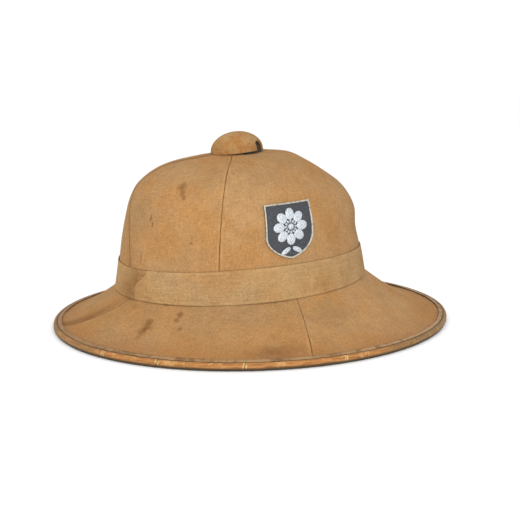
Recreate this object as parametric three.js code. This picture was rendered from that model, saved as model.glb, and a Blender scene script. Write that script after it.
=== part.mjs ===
// A canvas-covered sun helmet: a pressed cork shell, six crown panels, four brim panels, a band,
// a leather rim binding, a domed vent cap and a shield badge on the wearer's left.
// Millimetres, +Z up. The front of the helmet faces -Y and the wearer's left is +X.
// The origin is at the middle of the rim, on the surface that the rim rests on.

import * as THREE from 'three';
import { mergeVertices } from 'three/addons/utils/BufferGeometryUtils.js';

const { clamp, degToRad, lerp, smoothstep } = THREE.MathUtils;

// Rim and brim
const RIM_LENGTH = 340;
const RIM_WIDTH = 286;
const BRIM_SWEEP_FRONT = 1.35; // exponent of the brim's slope: 1 is straight, more is more hollow
const BRIM_SWEEP_BACK = 1.64;

// Foot of the crown, where the brim starts, measured on the canvas
const CROWN_LENGTH = 213.9;
const CROWN_WIDTH = 176;
const CROWN_FOOT_HEIGHT = 35.7;
const CROWN_AHEAD = 12.6;
const CROWN_LEAN = 2.5; // degrees, forward

// Upright wall behind the band, and the dome above it
const BAND_HEIGHT = 23.5;
const BAND_SIDE_RISE = 2.9; // how much higher the band is at the sides
const BAND_FLARE = 4.1;
const CROWN_RISE = 82.6;
const SIDE_FULLNESS = 0.03; // extra width of the dome where it draws in

// Walls and joints
const GAP = 0.3;
const CANVAS = 1.0;
const BAND_CANVAS = 1.2;
const SHELL_WALL = 3.0;
const SHELL_EDGE = 2.0;
const SHELL_THINS_FROM = 2.4; // row: two fifths of the way out along the brim

// Leather binding round the rim
const LEATHER = 0.9;
const LEATHER_FOOT = 1.2;
const LIP_WIDTH = 5.0;
const ROLL_REACH = 2.2;
const ROLL_DEPTH = 2.0;
const ROLL_DROP = 0.1;
const GROOVE_INSET = 1.2;
const GROOVE_DEPTH = 0.4;

// Vent cap and the post that carries it
const CAP_DIAMETER = 42.8;
const CAP_HEIGHT = 15.6;
const CAP_WALL = 1.6;
const CAP_TILT = 2.5; // degrees, forward of the crown's own lean
const CAP_AHEAD = 1.6;
const CAP_CLEARANCE = 0.5;
const SLOT_HEIGHT = 6.8;
const SLOT_FROM_FRONT = 130; // degrees round from the front to the middle of each rear slot
const POST_DIAMETER = 22;

// Shield badge
const BADGE_WIDTH = 39.2;
const BADGE_HEIGHT = 42;
const BADGE_STRAIGHT = 24; // length of the straight sides
const BADGE_PLATE = 0.9;
const BADGE_RIM = 1.4;
const BADGE_RIM_RELIEF = 0.4;
const ROSETTE_RADIUS = 13;
const ROSETTE_RELIEF = 0.8;
const BADGE_BEARING = 92; // degrees round from the front
const BADGE_ABOVE_BAND = 5.0;
const BADGE_SLANT = 2.7; // degrees, top towards the back

// Sections of the dome: height as a share of its rise, reach as shares of its half-length
const CROWN_SECTIONS = [
  { height: 0, front: 1, back: 1 },
  { height: 0.2, front: 0.972, back: 0.966 },
  { height: 0.4, front: 0.935, back: 0.955 },
  { height: 0.6, front: 0.886, back: 0.861 },
  { height: 0.75, front: 0.806, back: 0.712 },
  { height: 0.88, front: 0.621, back: 0.546 },
  { height: 0.96, front: 0.336, back: 0.391 },
  { height: 1, front: 0, back: 0 },
];

// Seams of the four brim panels: degrees from the front at the crown, and the turn on the way out
const BRIM_SEAMS = [
  { foot: 13, turn: -20 },
  { foot: 92, turn: -10 },
  { foot: 180, turn: -10 },
  { foot: 270, turn: -10 },
];

// Seams of the six crown panels: bearings from the crown's axis, in degrees round from the front, at
// the seam's foot, half way up and at the top, and the shares of the rows over which they change
const CROWN_SEAMS = [
  { foot: 7, middle: -8, top: -8 },
  { foot: 54, middle: 56, top: 44 },
  { foot: 125, middle: 136, top: 136 },
  { foot: 180, middle: 180, top: 180 },
  { foot: 235, middle: 224, top: 224 },
  { foot: 306, middle: 304, top: 304 },
];
const LOW_BEND = [0.1, 0.45];
const HIGH_BEND = [0.82, 1];

// Facets
const COLUMNS = 48;
const CROWN_ROWS = 10;
const BRIM_ROWS = 7;
const CAP_COLUMNS = 36;
const CAP_UPPER_ROWS = 4; // above the slots
const CAP_SLOT_ROWS = 2;
const SLOT_COLUMNS = 3;
const POST_COLUMNS = 24;
const BADGE_COLUMNS = 48;

// Values that follow from the sizes above
const EDGE_TOP = LEATHER_FOOT + GAP + SHELL_EDGE + GAP + CANVAS;
const EDGE_LENGTH = RIM_LENGTH - 2 * ROLL_REACH;
const EDGE_WIDTH = RIM_WIDTH - 2 * ROLL_REACH;
const DOME_LENGTH = CROWN_LENGTH - 2 * BAND_FLARE;
const DOME_WIDTH = CROWN_WIDTH - 2 * BAND_FLARE;
const SHELL_TOP = CANVAS + GAP;
const POST_RADIUS = POST_DIAMETER / 2;
const CAP_RADIUS = CAP_DIAMETER / 2;

// The canvas surface. A place on it is (row, turn): row 0 is the top of the crown, 1 the top of
// the band, 2 its foot and 3 the edge of the brim; turn is the angle round from the front.
const crownFrame = new THREE.Matrix4()
  .makeRotationX(degToRad(CROWN_LEAN))
  .setPosition(0, -CROWN_AHEAD, CROWN_FOOT_HEIGHT);
const crownAxis = new THREE.Vector3(0, 0, 1).transformDirection(crownFrame);
const domeCurve = new THREE.CatmullRomCurve3(
  CROWN_SECTIONS.map(({ height, front, back }) => new THREE.Vector3(front, back, height)),
  false,
  'catmullrom',
);

function domeSection(row) {
  const { x: front, y: back, z: height } = domeCurve.getPoint(clamp(1 - row, 0, 1));
  const reach = (front + back) / 2;
  return {
    halfLength: (DOME_LENGTH / 2) * reach,
    halfWidth: (DOME_WIDTH / 2) * reach * (1 + SIDE_FULLNESS * (1 - reach)),
    centre: (DOME_LENGTH / 2) * ((back - front) / 2),
    height,
  };
}

function bandTop(turn) {
  return BAND_HEIGHT + BAND_SIDE_RISE * Math.sin(turn) ** 2;
}

function domePoint(row, turn) {
  const { halfLength, halfWidth, centre, height } = domeSection(row);
  return new THREE.Vector3(
    halfWidth * Math.sin(turn),
    centre - halfLength * Math.cos(turn),
    lerp(bandTop(turn), BAND_HEIGHT + CROWN_RISE, height),
  ).applyMatrix4(crownFrame);
}

function wallPoint(row, turn) {
  const down = row - 1;
  return new THREE.Vector3(
    (lerp(DOME_WIDTH, CROWN_WIDTH, down) / 2) * Math.sin(turn),
    (-lerp(DOME_LENGTH, CROWN_LENGTH, down) / 2) * Math.cos(turn),
    bandTop(turn) * (1 - down),
  ).applyMatrix4(crownFrame);
}

function edgePoint(turn) {
  return new THREE.Vector3(
    (EDGE_WIDTH / 2) * Math.sin(turn),
    (-EDGE_LENGTH / 2) * Math.cos(turn),
    EDGE_TOP,
  );
}

function brimPoint(row, turn) {
  const out = clamp(row - 2, 0, 1);
  const foot = wallPoint(2, turn);
  const sweep = lerp(BRIM_SWEEP_BACK, BRIM_SWEEP_FRONT, (1 + Math.cos(turn)) / 2);
  const point = foot.clone().lerp(edgePoint(turn), out);
  point.z = lerp(EDGE_TOP, foot.z, (1 - out) ** sweep);
  return point;
}

function canvasPoint(row, turn) {
  if (row <= 1) return domePoint(row, turn);
  return row <= 2 ? wallPoint(row, turn) : brimPoint(row, turn);
}

// The outward direction just above a row (step below 0) or just below it (step above 0)
const STEP = 0.004;

function facing(row, turn, step) {
  const start = canvasPoint(row, turn);
  const down = canvasPoint(row + step, turn).sub(start).multiplyScalar(Math.sign(step));
  const round = canvasPoint(row + step, turn + STEP).sub(canvasPoint(row + step, turn - STEP));
  return down.cross(round).normalize();
}

// A point under the canvas surface; a negative depth lies outside. Corners are mitred.
function layerPoint(row, turn, depth) {
  const point = canvasPoint(row, turn);
  if (row < STEP) return point.addScaledVector(crownAxis, -depth);
  const above = facing(row, turn, -STEP);
  const below = row > 3 - STEP ? above : facing(row, turn, STEP);
  const middle = above.clone().add(below).normalize();
  return point.addScaledVector(middle, -depth / middle.dot(above));
}

// Angles of the seams on a row, and of the columns of facets spread evenly between them
function crownSeams(row) {
  const low = smoothstep(1 - row, ...LOW_BEND);
  const high = smoothstep(1 - row, ...HIGH_BEND);
  const seams = CROWN_SEAMS.map(({ foot, middle, top }) => lerp(lerp(foot, middle, low), top, high));
  return [...seams, seams[0] + 360];
}

// The turn at which a bearing from the crown's axis meets the section at a row
function turnAtBearing(row, bearing) {
  const { halfLength, halfWidth, centre } = domeSection(row);
  if (halfLength < STEP) return bearing;
  const [sin, cos] = [Math.sin(bearing) / halfWidth, Math.cos(bearing) / halfLength];
  const a = sin * sin + cos * cos;
  const b = (cos * centre) / halfLength;
  const c = (centre / halfLength) ** 2 - 1;
  const reach = (Math.sqrt(b * b - a * c) - b) / a;
  const turn = Math.atan2(reach * sin, reach * cos + centre / halfLength);
  return turn + 2 * Math.PI * Math.round((bearing - turn) / (2 * Math.PI));
}

function brimSeams(row) {
  const seams = BRIM_SEAMS.map(({ foot, turn }) => foot + turn * (row - 2));
  return [...seams, seams[0] + 360];
}

function spreadBetween(seams, share) {
  const place = share * (seams.length - 1);
  const seam = Math.min(Math.floor(place), seams.length - 2);
  return lerp(seams[seam], seams[seam + 1], place - seam);
}

function columnTurn(row, column) {
  const share = column / COLUMNS;
  if (row >= 2) return degToRad(spreadBetween(brimSeams(row), share));
  const domeRow = Math.min(row, 1);
  const crown = turnAtBearing(domeRow, degToRad(spreadBetween(crownSeams(domeRow), share)));
  const brim = degToRad(spreadBetween(brimSeams(2), share));
  return lerp(crown, brim, clamp(row - 1, 0, 1));
}

// The angle that moves a point sideways by a distance along the row
function turnFor(distance, row, turn) {
  const span = canvasPoint(row, turn + STEP).distanceTo(canvasPoint(row, turn - STEP));
  return (distance * 2 * STEP) / span;
}

// One layer of points, a row of columns for each row of the surface. A panel's end columns are
// drawn back from its seams by half the gap.
function layer(rows, firstColumn, lastColumn, depthAt, seamGap = 0) {
  return rows.map((row) => {
    const points = [];
    for (let column = firstColumn; column <= lastColumn; column += 1) {
      let turn = columnTurn(row, column);
      if (seamGap && column === firstColumn) turn += turnFor(seamGap / 2, row, turn);
      if (seamGap && column === lastColumn) turn -= turnFor(seamGap / 2, row, turn);
      points.push(layerPoint(row, turn, depthAt(row)));
    }
    return points;
  });
}

const SAME_POINT = 1e-4;

// A closed body between two layers of points with as many rows and columns. Cells named open
// are left out of both, and every free side of a cell gets an edge face.
function sheetBody(outer, inner, isOpen = () => false) {
  const corners = [];
  const apart = (p, q) => p.distanceTo(q) > SAME_POINT;
  const face = (a, b, c, d) => {
    for (const [p, q, r] of [[a, b, c], [a, c, d]]) {
      if (apart(p, q) && apart(q, r) && apart(r, p)) corners.push(p, q, r);
    }
  };
  const rowCount = outer.length - 1;
  const columnCount = outer[0].length - 1;
  const closes = !apart(outer[rowCount][0], outer[rowCount][columnCount]);
  const solid = (row, column) => {
    if (row < 0 || row >= rowCount) return false;
    if (!closes && (column < 0 || column >= columnCount)) return false;
    return !isOpen(row, (column + columnCount) % columnCount);
  };
  for (let row = 0; row < rowCount; row += 1) {
    for (let column = 0; column < columnCount; column += 1) {
      if (!solid(row, column)) continue;
      const next = closes ? (column + 1) % columnCount : column + 1;
      const o = [outer[row][column], outer[row + 1][column], outer[row + 1][next], outer[row][next]];
      const i = [inner[row][column], inner[row + 1][column], inner[row + 1][next], inner[row][next]];
      face(o[0], o[1], o[2], o[3]);
      face(i[2], i[1], i[0], i[3]);
      if (!solid(row, column - 1)) face(o[0], i[0], i[1], o[1]);
      if (!solid(row + 1, column)) face(o[1], i[1], i[2], o[2]);
      if (!solid(row, column + 1)) face(o[2], i[2], i[3], o[3]);
      if (!solid(row - 1, column)) face(o[3], i[3], i[0], o[0]);
    }
  }
  return bodyFrom(corners);
}

// A body that sweeps a closed section, one loop of points for each column
function ringBody(loops) {
  const corners = [];
  loops.forEach((loop, index) => {
    const next = loops[(index + 1) % loops.length];
    loop.forEach((point, corner) => {
      const after = (corner + 1) % loop.length;
      corners.push(point, next[after], next[corner]);
      corners.push(point, loop[after], next[after]);
    });
  });
  return bodyFrom(corners);
}

function bodyFrom(corners) {
  const soup = new THREE.BufferGeometry().setFromPoints(corners);
  const geometry = mergeVertices(soup, SAME_POINT);
  geometry.computeVertexNormals();
  return geometry;
}

function piece(name, geometry, color, roughness, metalness = 0) {
  const mesh = new THREE.Mesh(geometry, new THREE.MeshStandardMaterial({ color, roughness, metalness }));
  mesh.name = name;
  return mesh;
}

const TAN_CANVAS = 0xb58d5c;
const PALE_CANVAS = 0xbd9763;
const CORK = 0xa9865a;
const LEATHER_TAN = 0xb9763a;
const DARK_METAL = 0x8c9092;

function evenRows(from, to, count) {
  return Array.from({ length: count + 1 }, (_, index) => lerp(from, to, index / count));
}

// The row where the side of the dome is a distance from the crown's axis
const HALVINGS = 40;

function domeRowAt(radius) {
  let near = 0;
  let far = 1;
  for (let pass = 0; pass < HALVINGS; pass += 1) {
    const middle = (near + far) / 2;
    if (domePoint(middle, Math.PI / 2).x < radius) near = middle;
    else far = middle;
  }
  return near;
}

// How far the dome has dropped below its top at that distance
function domeDrop(radius) {
  const side = domePoint(domeRowAt(radius), Math.PI / 2);
  return domePoint(0, 0).sub(side).dot(crownAxis);
}

const helmet = new THREE.Group();

// Pressed cork shell: one wall for crown and brim, thinner towards the rim
const panelTopRow = domeRowAt(POST_RADIUS + GAP);
const crownRows = evenRows(panelTopRow, 1, CROWN_ROWS);
const brimRows = evenRows(2, 3, BRIM_ROWS);
const shellRows = [0, ...crownRows, ...brimRows];

function shellInside(row) {
  return SHELL_TOP + lerp(SHELL_WALL, SHELL_EDGE, smoothstep(row, SHELL_THINS_FROM, 3));
}

helmet.add(piece(
  'shell',
  sheetBody(layer(shellRows, 0, COLUMNS, () => SHELL_TOP), layer(shellRows, 0, COLUMNS, shellInside)),
  CORK,
  0.9,
));

function canvasPanel(name, index, panelCount, rows) {
  const first = (index * COLUMNS) / panelCount;
  const last = first + COLUMNS / panelCount;
  const outer = layer(rows, first, last, () => 0, GAP);
  const inner = layer(rows, first, last, () => CANVAS, GAP);
  return piece(`${name}_${index + 1}`, sheetBody(outer, inner), TAN_CANVAS, 0.95);
}

// Six crown panels, from a hole round the post down to the foot of the band
const panelRows = [...crownRows, 2 - GAP / BAND_HEIGHT];
CROWN_SEAMS.forEach((_, index) => {
  helmet.add(canvasPanel('crown_panel', index, CROWN_SEAMS.length, panelRows));
});

// Four brim panels, from the foot of the crown to the rim
BRIM_SEAMS.forEach((_, index) => {
  helmet.add(canvasPanel('brim_panel', index, BRIM_SEAMS.length, brimRows));
});

// Band round the foot of the crown, its lower edge down on the brim
function cornerPoint(turn, fromWall, fromBrim) {
  const wall = facing(2, turn, -STEP);
  const brim = facing(2, turn, STEP);
  const turned = wall.dot(brim);
  const spread = 1 - turned * turned;
  return canvasPoint(2, turn)
    .addScaledVector(wall, (fromWall - fromBrim * turned) / spread)
    .addScaledVector(brim, (fromBrim - fromWall * turned) / spread);
}

function bandSection(column) {
  const top = columnTurn(1, column);
  const foot = columnTurn(2, column);
  const outward = facing(1, top, STEP);
  const outside = GAP + BAND_CANVAS;
  return [
    canvasPoint(1, top).addScaledVector(outward, GAP),
    canvasPoint(1, top).addScaledVector(outward, outside),
    cornerPoint(foot, outside, GAP),
    cornerPoint(foot, GAP, GAP),
  ];
}

const columns = Array.from({ length: COLUMNS }, (_, column) => column);
helmet.add(piece('band', ringBody(columns.map(bandSection)), PALE_CANVAS, 0.95));

// Leather binding: a lip on top of the brim, a groove, a roll round the edge, and a flat foot
function bindingSection(column) {
  const turn = columnTurn(3, column);
  const edge = edgePoint(turn);
  const outward = new THREE.Vector3(
    Math.sin(turn) / EDGE_WIDTH,
    -Math.cos(turn) / EDGE_LENGTH,
    0,
  ).normalize();
  const brimWidth = Math.hypot(edge.x - canvasPoint(2, turn).x, edge.y - canvasPoint(2, turn).y);
  const lipRow = 3 - LIP_WIDTH / brimWidth;
  const grooveRow = 3 - GROOVE_INSET / brimWidth;
  const at = (out, height) => edge.clone().addScaledVector(outward, out).setZ(height);
  const lipTop = EDGE_TOP + GAP + LEATHER;
  const rollTop = lipTop - ROLL_DROP;
  const rollOut = ROLL_REACH - ROLL_DEPTH;
  const under = layerPoint(lipRow, turn, shellInside(lipRow) + GAP);
  const roll = [90, 45, 0, -45, -90].map((angle) => at(
    rollOut + ROLL_DEPTH * Math.cos(degToRad(angle)),
    (rollTop / 2) * (1 + Math.sin(degToRad(angle))),
  ));
  return [
    layerPoint(lipRow, turn, -GAP),
    layerPoint(lipRow, turn, -GAP - LEATHER),
    layerPoint(grooveRow, turn, -GAP - LEATHER),
    at(-GROOVE_INSET / 2, lipTop - GROOVE_DEPTH),
    ...roll,
    under.clone().setZ(0),
    under,
    at(GAP, LEATHER_FOOT),
    at(GAP, EDGE_TOP + GAP),
  ];
}

helmet.add(piece('rim_binding', ringBody(columns.map(bindingSection)), LEATHER_TAN, 0.6));

// Vent cap: a dome on the top of the crown, with two slots at the rear
const crownTop = new THREE.Group();
crownTop.position.copy(domePoint(0, 0));
crownTop.rotation.x = degToRad(CROWN_LEAN);
helmet.add(crownTop);

const capTilt = degToRad(CAP_TILT);
const capFoot = CAP_CLEARANCE - domeDrop(CAP_RADIUS - CAP_AHEAD) + CAP_RADIUS * Math.sin(capTilt);
const capMount = new THREE.Group();
capMount.position.set(0, -CAP_AHEAD, capFoot);
capMount.rotation.x = capTilt;
crownTop.add(capMount);

const slotAngle = Math.asin(SLOT_HEIGHT / CAP_HEIGHT);
const capAngles = [
  ...evenRows(Math.PI / 2, slotAngle, CAP_UPPER_ROWS),
  ...evenRows(slotAngle, 0, CAP_SLOT_ROWS).slice(1),
];
const capStep = 360 / CAP_COLUMNS;

function capLayer(radius, height) {
  return capAngles.map((angle) => {
    const points = [];
    for (let column = 0; column <= CAP_COLUMNS; column += 1) {
      const turn = degToRad((column - 0.5) * capStep);
      const reach = radius * Math.cos(angle);
      points.push(new THREE.Vector3(
        reach * Math.sin(turn),
        -reach * Math.cos(turn),
        height * Math.sin(angle),
      ));
    }
    return points;
  });
}

function isSlot(row, column) {
  const fromFront = Math.min(column, CAP_COLUMNS - column) * capStep;
  return row >= CAP_UPPER_ROWS && Math.abs(fromFront - SLOT_FROM_FRONT) < (SLOT_COLUMNS / 2) * capStep;
}

const capOuter = capLayer(CAP_RADIUS, CAP_HEIGHT);
const capInner = capLayer(CAP_RADIUS - CAP_WALL, CAP_HEIGHT - CAP_WALL);
capMount.add(piece('vent_cap', sheetBody(capOuter, capInner, isSlot), TAN_CANVAS, 0.95));

// Post from the shell, through the hole in the panels, up to the inside of the cap
const postShare = (POST_RADIUS + CAP_AHEAD) / (CAP_RADIUS - CAP_WALL);
const capInside = (CAP_HEIGHT - CAP_WALL) * Math.sqrt(1 - postShare * postShare);
const postTop = capFoot + capInside - POST_RADIUS * Math.sin(capTilt) - GAP;
const post = new THREE.LatheGeometry([
  new THREE.Vector2(0, GAP - SHELL_TOP),
  new THREE.Vector2(POST_RADIUS, GAP - SHELL_TOP - domeDrop(POST_RADIUS)),
  new THREE.Vector2(POST_RADIUS, postTop),
  new THREE.Vector2(0, postTop),
], POST_COLUMNS);
post.rotateX(Math.PI / 2);
crownTop.add(piece('vent_post', post, CORK, 0.9));

// Shield badge, bent to the crown: x runs towards the back, y up the crown, lift off the canvas
function badgePoint(x, y, lift) {
  const centreAt = (row) => turnAtBearing(row, degToRad(BADGE_BEARING));
  const steps = 8;
  let row = 1;
  const rise = BADGE_ABOVE_BAND + BADGE_HEIGHT - BADGE_WIDTH / 2 + y;
  for (let step = 0; step < steps; step += 1) {
    const middle = domePoint(row, centreAt(row));
    const above = domePoint(row - STEP, centreAt(row - STEP));
    row -= ((rise / steps) * STEP) / middle.distanceTo(above);
  }
  const centre = centreAt(row);
  const slanted = x + y * Math.tan(degToRad(BADGE_SLANT));
  const turn = centre + turnFor(slanted, row, centre);
  return domePoint(row, turn).addScaledVector(facing(row, turn, STEP), lift);
}

// Outline of the shield round a point half its width below the top edge
const shieldHalf = BADGE_WIDTH / 2;
const shieldDrop = BADGE_HEIGHT - shieldHalf;
const SHIELD_HANDLES = { side: 0.62, foot: { out: 0.5, down: 0.9 } }; // shares of half width and drop
const shieldLower = new THREE.CubicBezierCurve(
  new THREE.Vector2(shieldHalf, shieldHalf - BADGE_STRAIGHT),
  new THREE.Vector2(shieldHalf, -shieldDrop * SHIELD_HANDLES.side),
  new THREE.Vector2(shieldHalf * SHIELD_HANDLES.foot.out, -shieldDrop * SHIELD_HANDLES.foot.down),
  new THREE.Vector2(0, -shieldDrop),
).getPoints(BADGE_COLUMNS / 2);

function shieldReach(angle) {
  const x = Math.abs(Math.cos(angle));
  const y = Math.sin(angle);
  const straight = shieldHalf / Math.max(x, y);
  if (straight * y > shieldHalf - BADGE_STRAIGHT) return straight;
  for (let index = 1; index < shieldLower.length; index += 1) {
    const a = shieldLower[index - 1];
    const b = shieldLower[index];
    const before = a.x * y - a.y * x;
    const after = b.x * y - b.y * x;
    if (after >= 0) return a.clone().lerp(b, before / (before - after)).length();
  }
  return shieldDrop;
}

// Rings from the middle out: how far, in from the edge or out from the middle, and how high
const ROSETTE_PETALS = 8;
const plateTop = GAP + BADGE_PLATE;
const BADGE_RINGS = [
  { radius: 0, relief: 1, petal: 0 },
  { radius: 0.2, relief: 1, petal: 0 },
  { radius: 0.26, relief: 0.2, petal: 0 },
  { radius: 0.5, relief: 0, petal: 0.75 },
  { radius: 0.8, relief: 0, petal: 0.6 },
  { radius: 1, relief: 0, petal: 0 },
];

function badgeFront(angle) {
  const petal = Math.max(0, Math.cos((angle - Math.PI / 2) * ROSETTE_PETALS));
  const reach = shieldReach(angle);
  const rings = BADGE_RINGS.map((ring) => ({
    reach: ring.radius * ROSETTE_RADIUS,
    lift: plateTop + ROSETTE_RELIEF * (ring.relief + ring.petal * petal),
  }));
  rings.push({ reach: reach - BADGE_RIM, lift: plateTop });
  rings.push({ reach: reach - BADGE_RIM + BADGE_RIM_RELIEF, lift: plateTop + BADGE_RIM_RELIEF });
  rings.push({ reach, lift: plateTop + BADGE_RIM_RELIEF });
  return rings;
}

function badgeLayer(ringsAt) {
  const spokes = [];
  for (let column = 0; column <= BADGE_COLUMNS; column += 1) {
    const angle = (2 * Math.PI * column) / BADGE_COLUMNS;
    spokes.push(ringsAt(angle).map(({ reach, lift }) => (
      badgePoint(reach * Math.cos(angle), reach * Math.sin(angle), lift)
    )));
  }
  return spokes[0].map((_, ring) => spokes.map((spoke) => spoke[ring]));
}

const badgeBack = (angle) => badgeFront(angle).map(({ reach }) => ({ reach, lift: GAP }));
helmet.add(piece('badge', sheetBody(badgeLayer(badgeFront), badgeLayer(badgeBack)), DARK_METAL, 0.45, 0.7));

export default helmet;
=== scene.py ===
# %% [markdown]
# # A canvas sun helmet, made piece by piece
#
# The helmet is a pressed cork shell with cloth sewn over it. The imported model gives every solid
# piece its place and size. This script dresses those solids in real cloth, leather and metal.
# Every length is in metres, +Z is up, the front of the helmet faces -Y and the wearer's left is +X.

# %% Load the frame
import math
import random

import bpy
import numpy as np
from mathutils import Matrix, Vector


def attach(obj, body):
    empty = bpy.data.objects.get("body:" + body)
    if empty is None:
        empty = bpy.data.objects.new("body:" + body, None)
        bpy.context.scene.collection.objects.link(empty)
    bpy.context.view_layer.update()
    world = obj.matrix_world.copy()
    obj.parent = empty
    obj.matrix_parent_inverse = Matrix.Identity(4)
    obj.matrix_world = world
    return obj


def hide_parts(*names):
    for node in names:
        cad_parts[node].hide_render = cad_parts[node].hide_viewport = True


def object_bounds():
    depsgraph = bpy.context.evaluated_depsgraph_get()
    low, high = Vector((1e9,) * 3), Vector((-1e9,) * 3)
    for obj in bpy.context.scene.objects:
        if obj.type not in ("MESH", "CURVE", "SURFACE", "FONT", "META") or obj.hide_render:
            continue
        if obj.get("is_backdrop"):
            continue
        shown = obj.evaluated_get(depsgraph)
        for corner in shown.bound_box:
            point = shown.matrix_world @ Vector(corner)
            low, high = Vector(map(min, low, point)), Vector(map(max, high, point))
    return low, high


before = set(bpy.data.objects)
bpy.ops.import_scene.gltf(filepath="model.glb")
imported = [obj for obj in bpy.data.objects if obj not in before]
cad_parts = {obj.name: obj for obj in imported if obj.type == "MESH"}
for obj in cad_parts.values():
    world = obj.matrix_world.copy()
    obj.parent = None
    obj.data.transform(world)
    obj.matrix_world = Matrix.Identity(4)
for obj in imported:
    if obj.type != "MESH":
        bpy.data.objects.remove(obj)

cad_box = [list(corner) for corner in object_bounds()]
print("frame nodes:", len(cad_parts), "box:", [[round(c, 4) for c in corner] for corner in cad_box])

# %% [markdown]
# ## The sizes
#
# These are the sizes of the solids, so every piece of cloth fits the block it is drawn over. Two
# things differ from them by about a millimetre, as the photo shows them: the front of the crown's top
# has settled, and the cap sits lower and leans further forward. The table gives the dome's profile:
# how high, and how far it reaches to the front and to the back.

# %% Sizes of the helmet
MM = 0.001
RIM_LENGTH, RIM_WIDTH = 340 * MM, 286 * MM
CROWN_LENGTH, CROWN_WIDTH = 213.9 * MM, 176 * MM
CROWN_FOOT, CROWN_AHEAD, CROWN_LEAN = 35.7 * MM, 12.6 * MM, math.radians(2.5)
BAND_HEIGHT, BAND_SIDE_RISE, BAND_FLARE = 23.5 * MM, 2.9 * MM, 4.1 * MM
CROWN_RISE = 82.6 * MM
SIDE_FULLNESS = 0.03
TOP_SETTLES, TOP_SETTLES_AT, TOP_SETTLES_OVER = 1.2 * MM, 0.13, 0.07
SWEEP_FRONT, SWEEP_BACK = 1.35, 1.64

GAP, CANVAS = 0.3 * MM, 1.0 * MM
SHELL_WALL, SHELL_EDGE, SHELL_THINS_FROM = 3.0 * MM, 2.0 * MM, 2.4
LEATHER, LEATHER_FOOT, LIP_WIDTH = 0.9 * MM, 1.2 * MM, 5.0 * MM
ROLL_REACH, ROLL_DEPTH, ROLL_DROP = 2.2 * MM, 2.0 * MM, 0.1 * MM

CAP_RADIUS, CAP_HEIGHT, CAP_WALL = 21.4 * MM, 15.2 * MM, 1.6 * MM
CAP_TILT, CAP_AHEAD, CAP_CLEARANCE, SLOT_HEIGHT = math.radians(5.5), 1.6 * MM, -0.4 * MM, 6.8 * MM
POST_RADIUS = 11 * MM

CROWN_PROFILE = np.array([
    (0, 1, 1), (0.2, 0.972, 0.966), (0.4, 0.935, 0.955), (0.6, 0.886, 0.861),
    (0.75, 0.806, 0.712), (0.88, 0.621, 0.546), (0.96, 0.336, 0.391), (1, 0, 0),
])
CROWN_SEAMS = [
    (7, -8, -8), (54, 56, 44), (125, 136, 136), (180, 180, 180), (235, 224, 224), (306, 304, 304),
]
LOW_BEND, HIGH_BEND = (0.0, 0.6), (0.82, 1.0)
BRIM_SEAMS = [(13, -20), (92, -10), (180, -10), (270, -10)]

EDGE_TOP = LEATHER_FOOT + GAP + SHELL_EDGE + GAP + CANVAS
EDGE_LENGTH, EDGE_WIDTH = RIM_LENGTH - 2 * ROLL_REACH, RIM_WIDTH - 2 * ROLL_REACH
DOME_LENGTH, DOME_WIDTH = CROWN_LENGTH - 2 * BAND_FLARE, CROWN_WIDTH - 2 * BAND_FLARE
SHELL_TOP = CANVAS + GAP
print("rim", RIM_LENGTH, "x", RIM_WIDTH, "edge height", round(EDGE_TOP, 5))

# %% [markdown]
# ## The block
#
# A hatter draws the cloth over a wooden block. Here the block is a rule that gives a point for
# every place on the helmet. A place is a row and a turn: row 0 is the top of the crown, 1 the top
# of the band, 2 its foot and 3 the edge of the brim, and the turn is the angle round from the
# front. A rule is better than a stored mesh, because any piece can be laid on it at any fineness.


# %% Points of the block
def smooth_between(value, low, high):
    """Eases from 0 at low to 1 at high; low may be the larger one."""
    share = np.clip((value - low) / (high - low), 0, 1)
    return share * share * (3 - 2 * share)


def mix(a, b, share):
    return a + (b - a) * share


def in_crown(x, y, z):
    c, s = math.cos(CROWN_LEAN), math.sin(CROWN_LEAN)
    return np.stack([x, y * c - z * s - CROWN_AHEAD, y * s + z * c + CROWN_FOOT], axis=-1)


crown_axis = Vector((0, -math.sin(CROWN_LEAN), math.cos(CROWN_LEAN)))


def dome_section(row):
    """Half length, half width and middle of the dome's oval at a row, and its share of the rise."""
    last = len(CROWN_PROFILE) - 1
    place = np.clip(1 - np.asarray(row, float), 0, 1) * last
    start = np.minimum(place.astype(int), last - 1)
    t = (place - start)[..., None]
    ends = np.vstack([
        2 * CROWN_PROFILE[0] - CROWN_PROFILE[1],
        CROWN_PROFILE,
        2 * CROWN_PROFILE[-1] - CROWN_PROFILE[-2],
    ])
    p0, p1, p2, p3 = (ends[start + k] for k in range(4))
    m1, m2 = (p2 - p0) / 2, (p3 - p1) / 2
    curve = ((2 * p1 - 2 * p2 + m1 + m2) * t ** 3 + (-3 * p1 + 3 * p2 - 2 * m1 - m2) * t ** 2
             + m1 * t + p1)
    height, front, back = curve[..., 0], curve[..., 1], curve[..., 2]
    reach = (front + back) / 2
    return (
        DOME_LENGTH / 2 * reach,
        DOME_WIDTH / 2 * reach * (1 + SIDE_FULLNESS * (1 - reach)),
        DOME_LENGTH / 2 * (back - front) / 2,
        height,
    )


def band_top(turn):
    return BAND_HEIGHT + BAND_SIDE_RISE * np.sin(turn) ** 2


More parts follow.
